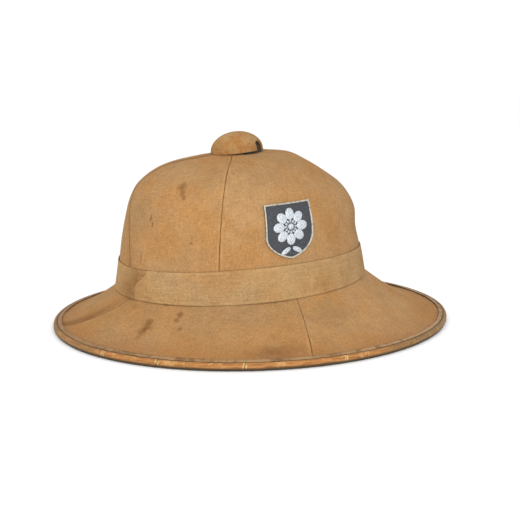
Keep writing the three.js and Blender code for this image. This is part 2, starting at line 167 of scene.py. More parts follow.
def block_point(row, turn):
    row, turn = np.broadcast_arrays(np.asarray(row, float), np.asarray(turn, float))
    half_length, half_width, middle, height = dome_section(row)
    near = np.exp(-((row - TOP_SETTLES_AT) / TOP_SETTLES_OVER) ** 2)
    settled = TOP_SETTLES * near * mix(0.5, np.cos(turn), 0.5)
    dome = in_crown(
        half_width * np.sin(turn),
        middle - half_length * np.cos(turn),
        mix(band_top(turn), BAND_HEIGHT + CROWN_RISE, height) - settled,
    )
    down = np.clip(row - 1, 0, 1)
    wall = in_crown(
        mix(DOME_WIDTH, CROWN_WIDTH, down) / 2 * np.sin(turn),
        -mix(DOME_LENGTH, CROWN_LENGTH, down) / 2 * np.cos(turn),
        band_top(turn) * (1 - down),
    )
    out = np.clip(row - 2, 0, 1)
    edge = np.stack([
        EDGE_WIDTH / 2 * np.sin(turn),
        -EDGE_LENGTH / 2 * np.cos(turn),
        np.full_like(turn, EDGE_TOP),
    ], axis=-1)
    sweep = mix(SWEEP_BACK, SWEEP_FRONT, (1 + np.cos(turn)) / 2)
    brim = mix(wall, edge, out[..., None])
    brim[..., 2] = mix(EDGE_TOP, wall[..., 2], (1 - out) ** sweep)
    choice = row[..., None]
    return np.where(choice <= 1, dome, np.where(choice <= 2, wall, brim))


print("block: top", block_point(0, 0.0).round(4), "front edge", block_point(3, 0.0).round(4))

# %% [markdown]
# Cloth has thickness and seams sink into it, so each piece also needs to know which way is out.
# The direction is found from two small steps along the block. Where the wall meets the dome or the
# brim there are two directions, and the point is moved along the middle one, as in a mitre.

# %% Points off the block
STEP = 0.004


def facing(row, turn, step):
    start = block_point(row, turn)
    down = (block_point(row + step, turn) - start) * math.copysign(1, step)
    along = block_point(row + step, turn + STEP) - block_point(row + step, turn - STEP)
    out = np.cross(down, along)
    return out / np.linalg.norm(out, axis=-1, keepdims=True)


def off_block(row, turn, lift):
    """Points at a height off the block: above it for lift over 0, under it for lift below 0."""
    row, turn, lift = np.broadcast_arrays(*(np.asarray(v, float) for v in (row, turn, lift)))
    inner = np.clip(row, STEP, 3)
    above = facing(inner, turn, -STEP)
    below = facing(np.minimum(inner, 3 - STEP), turn, STEP)
    below = np.where((inner > 3 - STEP)[..., None], above, below)
    middle = above + below
    middle /= np.linalg.norm(middle, axis=-1, keepdims=True)
    mitre = np.sum(middle * above, axis=-1)
    return block_point(row, turn) + middle * (lift / mitre)[..., None]


def crown_seam(row, index):
    """Bearing of a crown seam at a row, in radians: it bends low down and again near the top."""
    foot, middle, top = CROWN_SEAMS[index % len(CROWN_SEAMS)]
    bearing = mix(foot, middle, smooth_between(1 - row, *LOW_BEND))
    bearing = mix(bearing, top, smooth_between(1 - row, *HIGH_BEND))
    return np.radians(bearing + 360 * (index // len(CROWN_SEAMS)))


def turn_at(row, bearing):
    """The turn at which a bearing from the crown's axis meets the oval at a row."""
    half_length, half_width, middle, _ = dome_section(np.minimum(row, 1))
    half_length = np.maximum(half_length, 1e-6)
    half_width = np.maximum(half_width, 1e-6)
    sin, cos = np.sin(bearing) / half_width, np.cos(bearing) / half_length
    a, b = sin * sin + cos * cos, cos * middle / half_length
    c = (middle / half_length) ** 2 - 1
    reach = (np.sqrt(b * b - a * c) - b) / a
    turn = np.arctan2(reach * sin, reach * cos + middle / half_length)
    return turn + 2 * math.pi * np.round((bearing - turn) / (2 * math.pi))


def brim_seam(row, index):
    foot, wander = BRIM_SEAMS[index % len(BRIM_SEAMS)]
    return np.radians(foot + wander * (row - 2) + 360 * (index // len(BRIM_SEAMS)))


bearings = [round(math.degrees(float(crown_seam(row, 0))), 1) for row in (1, 0.8, 0.6)]
print("front crown seam bearings:", bearings)

# %% [markdown]
# ## Working by hand
#
# Blender's operators act on whatever is selected, so each piece starts with nothing selected. The
# helpers below pick vertices by where they are, and finish a piece the way every piece is finished:
# modifiers applied, place in the mesh, object at the origin.


# %% Helpers for picking and finishing
def nothing_selected():
    if bpy.context.object and bpy.context.object.mode != "OBJECT":
        bpy.ops.object.mode_set(mode="OBJECT")
    bpy.ops.object.select_all(action="DESELECT")


def places(piece):
    found = np.empty(len(piece.data.vertices) * 3)
    piece.data.vertices.foreach_get("co", found)
    return found.reshape(-1, 3)


def pick(piece, wanted):
    """Edit mode, with only the vertices selected for which wanted(x, y, z) is true."""
    bpy.ops.object.mode_set(mode="OBJECT")
    mesh = piece.data
    mesh.polygons.foreach_set("select", [False] * len(mesh.polygons))
    mesh.edges.foreach_set("select", [False] * len(mesh.edges))
    mesh.vertices.foreach_set("select", np.asarray(wanted(*places(piece).T), bool))
    bpy.ops.object.mode_set(mode="EDIT")
    bpy.ops.mesh.select_mode(type="VERT")


def edit_all():
    bpy.ops.object.mode_set(mode="EDIT")
    bpy.ops.mesh.select_all(action="SELECT")


def move_to(piece, points):
    piece.data.vertices.foreach_set("co", points.ravel())


def lengths_along(line):
    """How far it is from the start of a line of points to each of them."""
    return np.concatenate([[0], np.cumsum(np.linalg.norm(np.diff(line, axis=0), axis=1))])


def extrude(x=0, y=0, z=0):
    bpy.ops.mesh.extrude_region_move(TRANSFORM_OT_translate={"value": (x, y, z)})


def apply_all(piece):
    nothing_selected()
    piece.select_set(True)
    bpy.context.view_layer.objects.active = piece
    bpy.ops.object.transform_apply(location=True, rotation=True, scale=True)
    for modifier in list(piece.modifiers):
        bpy.ops.object.modifier_apply(modifier=modifier.name)


def named(name):
    """Names the piece that an operator has just added."""
    piece = bpy.context.object
    piece.name = piece.data.name = name
    return piece


def flat_grid(name, across, up, middle=(0, 0, 0)):
    nothing_selected()
    bpy.ops.mesh.primitive_grid_add(x_subdivisions=across, y_subdivisions=up, size=1, location=middle)
    piece = named(name)
    apply_all(piece)
    return piece


def stretch(x, y, z):
    bpy.ops.transform.resize(value=(x, y, z), center_override=(0, 0, 0))


def mend(piece, merge=0):
    """Merges the doubles nearer than merge, if it is given, and turns all faces out."""
    nothing_selected()
    bpy.context.view_layer.objects.active = piece
    edit_all()
    if merge:
        bpy.ops.mesh.remove_doubles(threshold=merge)
    bpy.ops.mesh.normals_make_consistent(inside=False)
    nothing_selected()


def smooth(piece, degrees=50):
    """Smooth shading, except across edges sharper than this."""
    nothing_selected()
    piece.select_set(True)
    bpy.context.view_layer.objects.active = piece
    bpy.ops.object.shade_smooth_by_angle(angle=math.radians(degrees))


def face_out(piece, inside):
    """Turns all faces over if most of them look towards the point inside."""
    mesh = piece.data
    looks = sum(p.area * p.normal.dot(p.center - Vector(inside)) for p in mesh.polygons)
    if looks < 0:
        mesh.flip_normals()


def attribute_of(piece, name):
    """The values of a recorded attribute, point by point."""
    values = np.empty(len(piece.data.vertices))
    piece.data.attributes[name].data.foreach_get("value", values)
    return values


def record_on(piece, name, values):
    attribute = piece.data.attributes.get(name) or piece.data.attributes.new(name, "FLOAT", "POINT")
    attribute.data.foreach_set("value", np.asarray(values, float))


def record_uv(piece, u, v):
    """A UV map in metres of cloth, so that the threads have one size everywhere."""
    mesh = piece.data
    layer = mesh.uv_layers[0] if mesh.uv_layers else mesh.uv_layers.new(name="cloth")
    layer.name = "cloth"
    corners = np.empty(len(mesh.loops), int)
    mesh.loops.foreach_get("vertex_index", corners)
    layer.data.foreach_set("uv", np.stack([u[corners], v[corners]], axis=-1).ravel())


def lay(piece, rule):
    """Moves every vertex of a flat pattern to where rule(x, y, z) puts it on the helmet."""
    nothing_selected()
    x, y, z = places(piece).T
    points, u, v, facts = rule(x, y, z)
    move_to(piece, points)
    for name, values in facts.items():
        record_on(piece, name, values)
    record_uv(piece, u, v)
    piece.data.update()


def ripple(points, wavelength, seed):
    """A soft uneven swell between about -1 and 1, the same on every run."""
    rng = np.random.default_rng(seed)
    total = np.zeros(points.shape[:-1])
    for _ in range(7):
        direction = rng.normal(size=3)
        direction /= np.linalg.norm(direction)
        size = wavelength * rng.uniform(0.7, 1.5)
        total += np.sin(points @ direction * (2 * math.pi / size) + rng.uniform(0, 2 * math.pi))
    return total / 3


print("helpers ready")

# %% [markdown]
# ## The cloth of the crown
#
# The crown wears six gores of canvas. Each is cut flat, sewn to its neighbours with the seam
# allowance turned under, and steamed over the block. So each gore starts here as a flat grid: x
# across, y up from the foot and z off the block. Its two long edges are extruded outwards and down
# in a few small steps, which makes the rolled edge that gives a sewn seam its thin dark line. Then
# the rule lays it on the block and Solidify gives it the thickness of the cloth.

# %% A flat cloth with rolled edges
CLOTH = 0.6 * MM
ROLL_STEPS = [(0.4, 0.01), (0.25, 0.04), (0.15, 0.08), (0.08, 0.12), (0.03, 0.13)]
ROLL = sum(step for step, _ in ROLL_STEPS) * MM


def cut_cloth(name, width, length, cells_across, cells_along):
    cloth = flat_grid(name, cells_across, cells_along, (0, 0.5, 0))
    stretch(width - 2 * ROLL, length, 1)
    apply_all(cloth)
    for side in (-1, 1):
        edge = side * (width / 2 - ROLL)
        for out, down in ROLL_STEPS:
            pick(cloth, lambda x, y, z: abs(x - edge) < 1e-6)
            extrude(x=side * out * MM, z=-down * MM)
            edge += side * out * MM
    nothing_selected()
    return cloth


def finish_cloth(cloth):
    face_out(cloth, inside=(0, -0.01, 0.03))
    solid = cloth.modifiers.new("thickness", "SOLIDIFY")
    solid.thickness, solid.offset = CLOTH, -1
    apply_all(cloth)
    smooth(cloth)


print("rolled edge takes", round(ROLL / MM, 2), "mm each side")


# %% The rule that lays a panel between two seams
def table_of(rows, left, right, to_turn):
    """Half widths and lengths of a panel, row by row, measured on the block."""
    half, spine, shares = [], [], np.linspace(0, 1, 25)
    for row in rows:
        turns = to_turn(row, mix(left(row), right(row), shares))
        line = block_point(row, turns)
        half.append(np.linalg.norm(np.diff(line, axis=0), axis=1).sum() / 2)
        spine.append(line[len(shares) // 2])
    length = lengths_along(spine)
    return np.array(half), length


PUCKER, PUCKER_PITCH = 0.05 * MM, 8.5 * MM


def panel_rule(rows, left, right, to_turn, seed, marks, swell):
    """Returns the rule and the flat size of the panel. marks says how plain its two seams are."""
    half, length = table_of(rows, left, right, to_turn)
    width = 2 * half.max()

    def rule(x, y, z):
        row = np.interp(y, length, rows)
        half_here = np.interp(y, length, half)
        reach = abs(x)
        from_seam = width / 2 - reach
        field = (half_here - ROLL) * reach / (width / 2 - ROLL)
        sideways = np.sign(x) * np.where(from_seam < ROLL, half_here - from_seam, field)
        to_seam = half_here - abs(sideways)
        turn = to_turn(row, mix(left(row), right(row), 0.5 + sideways / (2 * half_here)))
        flat = block_point(row, turn)
        mark = np.where(x < 0, marks[0], marks[1])
        lift = z * mark + swell * ripple(flat, 0.045, seed) * smooth_between(to_seam, 0, 0.012)
        gathers = np.sin(y * 2 * math.pi / PUCKER_PITCH + 1.7 * np.sin(y * 90 + seed))
        lift = lift + PUCKER * gathers * np.exp(-to_seam / 0.004) * smooth_between(to_seam, 0, 0.001)
        allowance = smooth_between(to_seam, 0.0062, 0.0046) * (x > 0) * mark
        lift = lift + 0.09 * MM * allowance
        facts = {"seam": to_seam, "mark": mark, "allowance": allowance, "edge": length[-1] - y,
                 "right": 1.0 * (x > 0)}
        return off_block(row, turn, lift), sideways, y, facts

    return rule, width, length[-1]


def row_at(radius):
    """The row at which the dome is this far from the crown's axis."""
    near, far = 0.0, 1.0
    for _ in range(40):
        middle = (near + far) / 2
        if block_point(middle, math.pi / 2)[0] < radius:
            near = middle
        else:
            far = middle
    return near


top_row = row_at(POST_RADIUS + GAP)
print("the gores start at row", round(top_row, 4))


# %% Six crown cloths
def sew_cloths(name, rows, seam, to_turn, marks, seam_shade_and_dirt, first_seed, swell, cells):
    """One cloth between each seam and the next; a pair of numbers says how far painted shade and dirt
    spread beside the front seam.
    """
    cloths = []
    for index in range(len(marks)):
        rule, width, length = panel_rule(
            rows,
            lambda row, k=index: seam(row, k),
            lambda row, k=index: seam(row, k + 1),
            to_turn,
            seed=first_seed + index,
            marks=(marks[index], marks[(index + 1) % len(marks)]),
            swell=swell,
        )
        cloth = cut_cloth(f"{name}_{index + 1}", width, length, *cells)
        lay(cloth, rule)
        right = attribute_of(cloth, "right")
        # The cloths on both sides of the front seam record how far painted shade and dirt reach from it
        if index == 0:
            record_on(cloth, "seam_shade_and_dirt", seam_shade_and_dirt[0] * (1 - right))
        elif index == len(marks) - 1:
            record_on(cloth, "seam_shade_and_dirt", seam_shade_and_dirt[1] * right)
        finish_cloth(cloth)
        cloths.append(cloth)
        print(cloth.name, "flat size", round(width / MM), "x", round(length / MM), "mm")
    return cloths


crown_cloths = sew_cloths(
    "crown_cloth", np.linspace(1.9, top_row, 160), crown_seam, turn_at,
    marks=[1.1, 1.0, 0.3, 0.8, 0.6, 0.8], seam_shade_and_dirt=(0.28, 0.34), first_seed=1,
    swell=0.22 * MM, cells=(64, 96))

# %% [markdown]
# ## The cloth of the brim
#
# Four curved pieces cover the brim. They are made in the same way, with x round the helmet and y
# outwards to the rim, where the leather binding covers their raw edge.

# %% Four brim cloths
brim_cloths = sew_cloths(
    "brim_cloth", np.linspace(2.0, 3.0, 90), brim_seam, lambda row, turn: turn,
    marks=[0.9, 1.0, 0.8, 0.8], seam_shade_and_dirt=(0, 1), first_seed=21,
    swell=0.3 * MM, cells=(120, 48))
for cloth in brim_cloths:
    record_on(cloth, "brim", np.ones(len(cloth.data.vertices)))

# %% [markdown]
# ## The band
#
# A folded strip of canvas hides the joint of crown and brim. It is one long strip, so it starts as
# a long grid with a rolled fold along both edges. At the front its end laps over its start along a
# curved line, and there it rises by about its own thickness.

# %% The band, cut flat
BAND_LAP = 9 * MM
BAND_JOINT = [(0, 17.0), (0.1, 16.4), (0.4, 15.3), (0.56, 17.0), (0.72, 20.6), (0.86, 22.6), (1, 23.2)]
BAND_STANDS = 0.95 * MM
BAND_FOLD = [(0.4, 0.04), (0.3, 0.1), (0.18, 0.16), (0.08, 0.2)]


def round_table(row, lift=0.0):
    """Turns and lengths round the helmet at a row, so that a distance can be made a turn."""
    turns = np.linspace(-math.pi, 3 * math.pi, 2881)
    line = off_block(row, turns, lift)
    length = lengths_along(line)
    return turns, length - np.interp(0, turns, length)


band_turns, band_lengths = round_table(1.5)
band_length = np.interp(2 * math.pi, band_turns, band_lengths)
band = flat_grid("band_cloth", 560, 22, (0.5, 0.5, 0))
fold_width = sum(step for step, _ in BAND_FOLD) * MM
band_flat = BAND_HEIGHT - 2 * fold_width
stretch(band_length + BAND_LAP, band_flat, 1)
apply_all(band)
for side, edge in ((-1, 0.0), (1, band_flat)):
    for out, down in BAND_FOLD:
        pick(band, lambda x, y, z: abs(y - edge) < 1e-6)
        extrude(y=side * out * MM, z=-down * MM)
        edge += side * out * MM
print("band strip", round((band_length + BAND_LAP) / MM), "mm long")


# %% The band, laid round the crown
def band_rule(x, y, z):
    up = (y + fold_width) / BAND_HEIGHT
    joint = np.radians(np.interp(up, *zip(*BAND_JOINT)))
    start = np.interp(joint, band_turns, band_lengths) - BAND_LAP
    turn = np.interp(start + x, band_lengths, band_turns)
    row = 2 - up * 0.995 - 0.004
    from_end = band_length + BAND_LAP - x
    lapped = smooth_between(x, band_length - 6 * MM, band_length + 2 * MM)
    flat = block_point(row, turn)
    middle = np.sin(np.clip(up, 0, 1) * math.pi)
    swell = 0.16 * MM * ripple(flat, 0.03, 41) * middle
    wave = 0.08 * MM * ripple(flat, 0.016, 43) * (1 - middle) ** 2
    tucked = 0.35 * MM * smooth_between(from_end, 1.2 * MM, 0)
    lift = BAND_STANDS + z + swell + wave + lapped * 0.6 * MM - tucked
    facts = {
        "seam": np.minimum(y + fold_width, band_flat + fold_width - y),
        "mark": np.full(len(x), 0.7),
        # how far into the lapped end the painted shade and dirt reach
        "lap_shade_and_dirt": smooth_between(from_end, 30 * MM, 4 * MM),
    }
    return off_block(np.clip(row, 1.004, 1.996), turn, lift), x, y, facts


lay(band, band_rule)
finish_cloth(band)
print("band laid,", len(band.data.polygons), "faces")

# %% [markdown]
# ## The leather binding
#
# A strip of leather is folded over the raw edge of the brim: a flat lip on top, a stitched groove,
# a fat roll round the edge and a flat foot below, on which the helmet stands. Bevelling a curve
# would give a round cord, so the section is drawn point by point and swept round the rim. Old
# leather that was bent round a curve shows small cross creases, which pinch the roll.

# %% The binding's section
CREASES = [20.5, 25.8, 34.3, 42.8, 50.2, 56.1, 65.0, 73.2, 90.8, 97.0, 105.5]
rng = random.Random(7)
far_creases = []
turn = 116.0
while turn < 377:
    far_creases.append(turn)
    turn += rng.uniform(5, 13)
crease_turns = np.radians(CREASES + far_creases)
edge_turns, edge_lengths = round_table(3.0)
crease_marks = np.interp(crease_turns % (2 * math.pi), edge_turns, edge_lengths)
rim_round = np.interp(2 * math.pi, edge_turns, edge_lengths)


def crease_depth(distance, reach=0.6 * MM):
    """How deep the nearest crease is at a distance round the rim, from 0 to 1."""
    depth = np.zeros_like(distance)
    for number, mark in enumerate(crease_marks):
        away = (distance - mark + rim_round / 2) % rim_round - rim_round / 2
        strength = 0.74 + 0.26 * math.sin(number * 2.4)
        depth = np.maximum(depth, strength * np.exp(-(away / reach) ** 2))
    return depth


SECTION_POINTS = 34


def binding_rule(x, y, z):
    """x is a share round the rim, y a share round the section."""
    distance = (x + 0.5) * rim_round
    slot_number = np.rint((y + 0.5) * SECTION_POINTS).astype(int)
    points = np.zeros((len(x), 3))
    kind = np.zeros(len(x))
    slant = np.where((slot_number > 8) & (slot_number < 22), (slot_number - 14) * 0.12 * MM, 0)
    depth = crease_depth(distance + slant)
    turn = np.interp(distance, edge_lengths, edge_turns)
    edge = np.stack([EDGE_WIDTH / 2 * np.sin(turn), -EDGE_LENGTH / 2 * np.cos(turn), 0 * turn], -1)
    outward = np.stack([np.sin(turn) / EDGE_WIDTH, -np.cos(turn) / EDGE_LENGTH, 0 * turn], -1)
    outward /= np.linalg.norm(outward, axis=-1, keepdims=True)
    foot = block_point(2, turn)
    brim_width = np.hypot(*(edge - foot)[:, :2].T)
    thick = GAP + LEATHER
    lip_top = EDGE_TOP + thick
    uneven = 0.25 * MM * ripple(edge, 0.03, 61) + 0.12 * MM * ripple(edge, 0.009, 62)
    plump = 0.035 * ripple(edge, 0.02, 63)

    def on_brim(inset, lift):
        return off_block(3 - inset / brim_width, turn, lift)

    def at(out, height):
        point = edge + outward * np.broadcast_to(out, turn.shape)[:, None]
        point[:, 2] = height
        return point

    roll_out = ROLL_REACH - ROLL_DEPTH
    roll_top = lip_top - ROLL_DROP
    under_lift = -(SHELL_TOP + SHELL_EDGE * 1.35)
    lip = LIP_WIDTH + uneven
    section = [
        (on_brim(lip, GAP * 0.4), 0), (on_brim(lip + 0.06 * MM, GAP + 0.3 * MM), 0),
        (on_brim(lip - 0.15 * MM, thick - 0.15 * MM), 0), (on_brim(lip - 0.5 * MM, thick), 0),
        (on_brim(lip - 1.6 * MM, thick + 0.08 * MM), 0), (on_brim(lip - 2.6 * MM, thick + 0.05 * MM), 0),
        (on_brim(1.75 * MM, thick - 0.05 * MM), 0), (on_brim(1.35 * MM, thick - 0.4 * MM), 0.15),
        (at(-0.85 * MM, lip_top - 0.85 * MM), 0.2),
    ]
    for angle in np.linspace(118, -78, 13):
        a = math.radians(angle)
        pinch = 1 - 0.2 * depth + plump
        out = roll_out + (ROLL_DEPTH * pinch) * math.cos(a)
        height = roll_top / 2 * (1 + math.sin(a) * (1 - 0.07 * depth * max(0, math.sin(a))))
        section.append((at(out, height), 1 - max(0, -math.sin(a))))
    section += [
        (at(roll_out + 0.1 * MM, 0), 0), (at(roll_out - 0.8 * MM, 0), 0),
        (at(roll_out - 2.6 * MM, 0), 0),
    ]
    under = on_brim(LIP_WIDTH, under_lift)
    flat_under = under.copy()
    flat_under[:, 2] = 0
    section += [
        (mix(section[-1][0], flat_under, 0.85), 0), (mix(flat_under, under, 0.06), 0),
        (mix(flat_under, under, 0.9), 0), (under, 0),
        (at(-1.5 * MM, LEATHER_FOOT), 0), (at(GAP, LEATHER_FOOT), 0), (at(GAP, EDGE_TOP), 0),
        (at(GAP, EDGE_TOP + GAP), 0), (on_brim(2.5 * MM, GAP * 0.4), 0),
    ]
    assert len(section) == SECTION_POINTS, len(section)
    for number, (where, part) in enumerate(section):
        here = slot_number % SECTION_POINTS == number
        points[here] = where[here]
        kind[here] = part
    number = slot_number % SECTION_POINTS
    degrees = np.degrees(turn)
    # Painted shade: the roll is made duller at the front and past the side, where it turns away from the
    # light
    roll_shade = 0.12 + 0.5 * smooth_between(degrees, 29, 19) + 0.7 * smooth_between(degrees, 96, 112)
    from_front = np.where(degrees > 180, 0.4 * (360 - degrees), degrees)
    in_front = smooth_between(from_front, 26, 12)
    # lip_edge marks where a painted shadow runs along the lip's inner edge
    facts = {"roll": kind, "crease": depth, "flank": crease_depth(distance + slant, 1.9 * MM),
             "roll_shade": np.clip(roll_shade, 0, 1), "lip_edge": (number <= 2) * (1 - 0.7 * in_front),
             "in_front": in_front}
    return points, distance, slot_number * 0.7 * MM, facts


binding = flat_grid("leather_binding", 1400, SECTION_POINTS)
lay(binding, binding_rule)
mend(binding, merge=0.02 * MM)
smooth(binding, 60)
print("binding:", len(binding.data.polygons), "faces,", len(crease_marks), "creases")

# %% [markdown]
# ## The stitches
#
# Small stitches lie in the groove of the binding. One stitch is modelled, from a low sphere drawn
# out to a grain of rice, and then copied round the rim. There are hundreds, so each is very simple.

# %% Stitches in the groove
STITCH_PITCH, STITCH_INSET, STITCH_SUNK = 3.3 * MM, 1.0 * MM, 0.62 * MM
nothing_selected()
bpy.ops.mesh.primitive_uv_sphere_add(segments=6, ring_count=5, radius=1)
stitch = bpy.context.object
stretch(0.24 * MM, 1.15 * MM, 0.2 * MM)
apply_all(stitch)
stitch_form = places(stitch)
stitch_faces = [tuple(p.vertices) for p in stitch.data.polygons]
count = int(rim_round / STITCH_PITCH)
all_points, all_faces = [], []
for number in range(count):
    distance = (number + 0.5) * rim_round / count
    turn = float(np.interp(distance, edge_lengths, edge_turns))
    edge = Vector(block_point(3, turn))
    ahead = Vector(block_point(3, turn + 0.01)) - Vector(block_point(3, turn - 0.01))
    outward = Vector((math.sin(turn) / EDGE_WIDTH, -math.cos(turn) / EDGE_LENGTH, 0)).normalized()
    middle = edge - outward * STITCH_INSET
    middle.z = EDGE_TOP + GAP + LEATHER - STITCH_SUNK
    spin = Matrix((outward, ahead.normalized(), Vector((0, 0, 1)))).transposed()
    start = len(all_points)
    all_points += [tuple(middle + spin @ Vector(p)) for p in stitch_form]
    all_faces += [tuple(start + v for v in face) for face in stitch_faces]
stitch.data.clear_geometry()
stitch.data.from_pydata(all_points, [], all_faces)
stitch.name = stitch.data.name = "rim_stitches"
print(count, "stitches of", len(stitch_faces), "faces")

# %% [markdown]
# ## The vent cap
#
# A small cloth dome stands clear of the crown on a post, so that air can leave under it and through
# two slots at the back. A sphere is cut in half with bisect and flattened, the slots are opened by
# deleting faces, and Solidify and Bevel turn it into a wall with soft edges.

# %% The cap's dome
SLOT_BEARING, SLOT_HALF_ANGLE = math.radians(130), math.radians(15)


def half_dome(name, segments, rings, cut, radius, height):
    """The part of a sphere above a cut, flattened to a radius and a height."""
    nothing_selected()
    bpy.ops.mesh.primitive_uv_sphere_add(segments=segments, ring_count=rings, radius=1)
    dome = named(name)
    edit_all()
    bpy.ops.mesh.bisect(plane_co=(0, 0, cut), plane_no=(0, 0, 1), clear_inner=True)
    bpy.ops.object.mode_set(mode="OBJECT")
    stretch(radius, radius, height)
    apply_all(dome)
    return dome


def in_slot(x, y, z):
    """True inside one of the two rear openings, which have rounded corners."""
    found = np.zeros(len(x), bool)
    for side in (-1, 1):
        turn = np.arctan2(x, -y)
        away = (turn - side * SLOT_BEARING + math.pi) % (2 * math.pi) - math.pi
        sideways = abs(away) / SLOT_HALF_ANGLE
        height = z / SLOT_HEIGHT
        found |= (sideways ** 3 + np.clip(height, 0, None) ** 4) < 1
    return found


cap = half_dome("cap_cloth", 144, 96, 0.0001, CAP_RADIUS, CAP_HEIGHT)
pick(cap, in_slot)
bpy.ops.mesh.delete(type="VERT")
nothing_selected()
wall = cap.modifiers.new("wall", "SOLIDIFY")
wall.thickness, wall.offset = CAP_WALL, -1
soft = cap.modifiers.new("soft edge", "BEVEL")
soft.width, soft.segments, soft.limit_method, soft.angle_limit = 0.3 * MM, 2, "ANGLE", math.radians(60)
apply_all(cap)
form = places(cap)
reach = np.hypot(form[:, 0], form[:, 1])
along = np.arctan2(reach, np.maximum(form[:, 2], 0)) * CAP_RADIUS / np.maximum(reach, 1e-6)
record_uv(cap, form[:, 0] * along, form[:, 1] * along)
CAP_SEAM = math.radians(58)
off_seam = abs(form[:, 0] * math.cos(CAP_SEAM) + form[:, 1] * math.sin(CAP_SEAM))
record_on(cap, "seam", np.minimum(off_seam, 0.02))
record_on(cap, "mark", np.full(len(form), 0.25))
print("cap:", len(cap.data.polygons), "faces")


# %% The cap, set on the crown
CAP_REAR_DROP = 1.5 * MM


crown_top = Vector(block_point(0, 0.0))


def dome_drop(radius):
    return (crown_top - Vector(block_point(row_at(radius), math.pi / 2))).dot(crown_axis)


cap_foot = CAP_CLEARANCE - dome_drop(CAP_RADIUS - CAP_AHEAD) + CAP_RADIUS * math.sin(CAP_TILT)
on_crown = Matrix.Translation(crown_top) @ Matrix.Rotation(CROWN_LEAN, 4, "X")
form = places(cap)
behind = smooth_between(form[:, 1], 0, CAP_RADIUS) * smooth_between(form[:, 2], 0.5 * SLOT_HEIGHT, 0)
form[:, 2] -= CAP_REAR_DROP * behind
move_to(cap, form)
cap_place = on_crown @ Matrix.Translation((0, -CAP_AHEAD, cap_foot)) @ Matrix.Rotation(CAP_TILT, 4, "X")
cap.matrix_world = cap_place
apply_all(cap)
smooth(cap)
print("cap foot", round(cap_foot / MM, 2), "mm from the crown's top")

# %% [markdown]
# Air passes under the cap, and there it lies in shade: a near-black skirt on the vent's neck is a dark
# sheet that stands in for that shade. It is a second, smaller dome. Its foot is extruded down and then
# set on the crown, point by point.

# %% The dark skirt under the cap, a painted shade
SKIRT_RADIUS, SKIRT_HEIGHT, SKIRT_FLARE = 19.2 * MM, 12.2 * MM, 1.085
shade_skirt = half_dome("vent_shade_skirt", 72, 32, 0.02, SKIRT_RADIUS, SKIRT_HEIGHT)
pick(shade_skirt, lambda x, y, z: z < SKIRT_HEIGHT * 0.03)
extrude(z=-1 * MM)
stretch(SKIRT_FLARE, SKIRT_FLARE, 1)
nothing_selected()
foot_ring = places(shade_skirt)[:, 2] < 0
shade_skirt.matrix_world = cap_place
apply_all(shade_skirt)
form = places(shade_skirt)
low = (form - block_point(0, 0.0)) @ np.array(crown_axis) < cap_foot + 0.1 * MM
rows = np.linspace(0.02, 0.4, 400)
for number in np.flatnonzero(low | foot_ring):
    bearing = math.atan2(form[number, 0], crown_top.y - form[number, 1])
    line = off_block(rows, turn_at(rows, bearing), 0.0)
    away = np.hypot(*(line - form[number])[:, :2].T)
    form[number] = line[np.argmin(away)]
move_to(shade_skirt, form)
face_out(shade_skirt, crown_top)
smooth(shade_skirt)
print("gauze:", len(shade_skirt.data.polygons), "faces")

# %% [markdown]
# ## The cork shell
#
# The shell is one pressed form for crown and brim. Only its underside shows. It is a grid of rows
# and columns laid on the block at two depths, closed at the rim, and lined with thin cloth.

# %% The shell
SHELL_ROWS = np.concatenate([
    np.linspace(0.0, top_row, 5), np.linspace(top_row, 1, 60)[1:], np.linspace(1, 2, 16)[1:],
    np.linspace(2, 3, 44)[1:],
])
SHELL_LOOP = 2 * len(SHELL_ROWS)


def shell_rule(x, y, z):
    """x is a share round the helmet; y runs down the outside and up the inside."""
    turn = (x + 0.5) * 2 * math.pi
    number = np.clip(np.rint((y + 0.5) * (SHELL_LOOP - 1)).astype(int), 0, SHELL_LOOP - 1)
    outside = number < len(SHELL_ROWS)
    row = SHELL_ROWS[np.where(outside, number, SHELL_LOOP - 1 - number)]
    wall = mix(SHELL_WALL, SHELL_EDGE, smooth_between(row, SHELL_THINS_FROM, 3))
    bearing_turn = np.where(row < 1, turn_at(np.maximum(row, 0.01), turn), turn)
    lift = -np.where(outside, SHELL_TOP, SHELL_TOP + wall)
    pole = block_point(0, 0.0) + np.array(crown_axis) * lift[:, None]
    around = off_block(np.maximum(row, 0.005), bearing_turn, lift)
    points = np.where((row < 0.004)[:, None], pole, around)
    facts = {"lining": np.where(outside, 0.0, 1.0), "seam": np.full(len(x), 0.02)}
    return points, points[:, 0], points[:, 1], facts


shell = flat_grid("cork_shell", 192, SHELL_LOOP - 1)
lay(shell, shell_rule)
mend(shell, merge=0.01 * MM)
smooth(shell)
print("shell:", len(shell.data.polygons), "faces")

# %% [markdown]
# ## The shield badge
#
# The badge is stamped from thin metal: a shield with a raised rim, a dark sunken field and a device
# in relief, here a rosette with eight petals above two small leaves. It is modelled flat, with x
# towards the back of the helmet, y up and z off the cloth, and then bent to the crown by a rule.

# %% The shield's outline
BADGE_WIDTH, BADGE_HEIGHT, BADGE_STRAIGHT = 39.2 * MM, 42 * MM, 24 * MM
BADGE_PLATE, BADGE_RELIEF = 0.9 * MM, 0.4 * MM
BADGE_BEARING, BADGE_ABOVE_BAND = math.radians(92.3), 4.3 * MM
BADGE_SLANT, BADGE_TIP, BADGE_WIDENS = math.radians(2.2), 0.025, 1.5
half, drop = BADGE_WIDTH / 2, BADGE_HEIGHT - BADGE_WIDTH / 2


def bezier(points, t):
    a, b, c, d = (np.array(p) for p in points)
    t = t[:, None]
    return a * (1 - t) ** 3 + 3 * b * t * (1 - t) ** 2 + 3 * c * t * t * (1 - t) + d * t ** 3


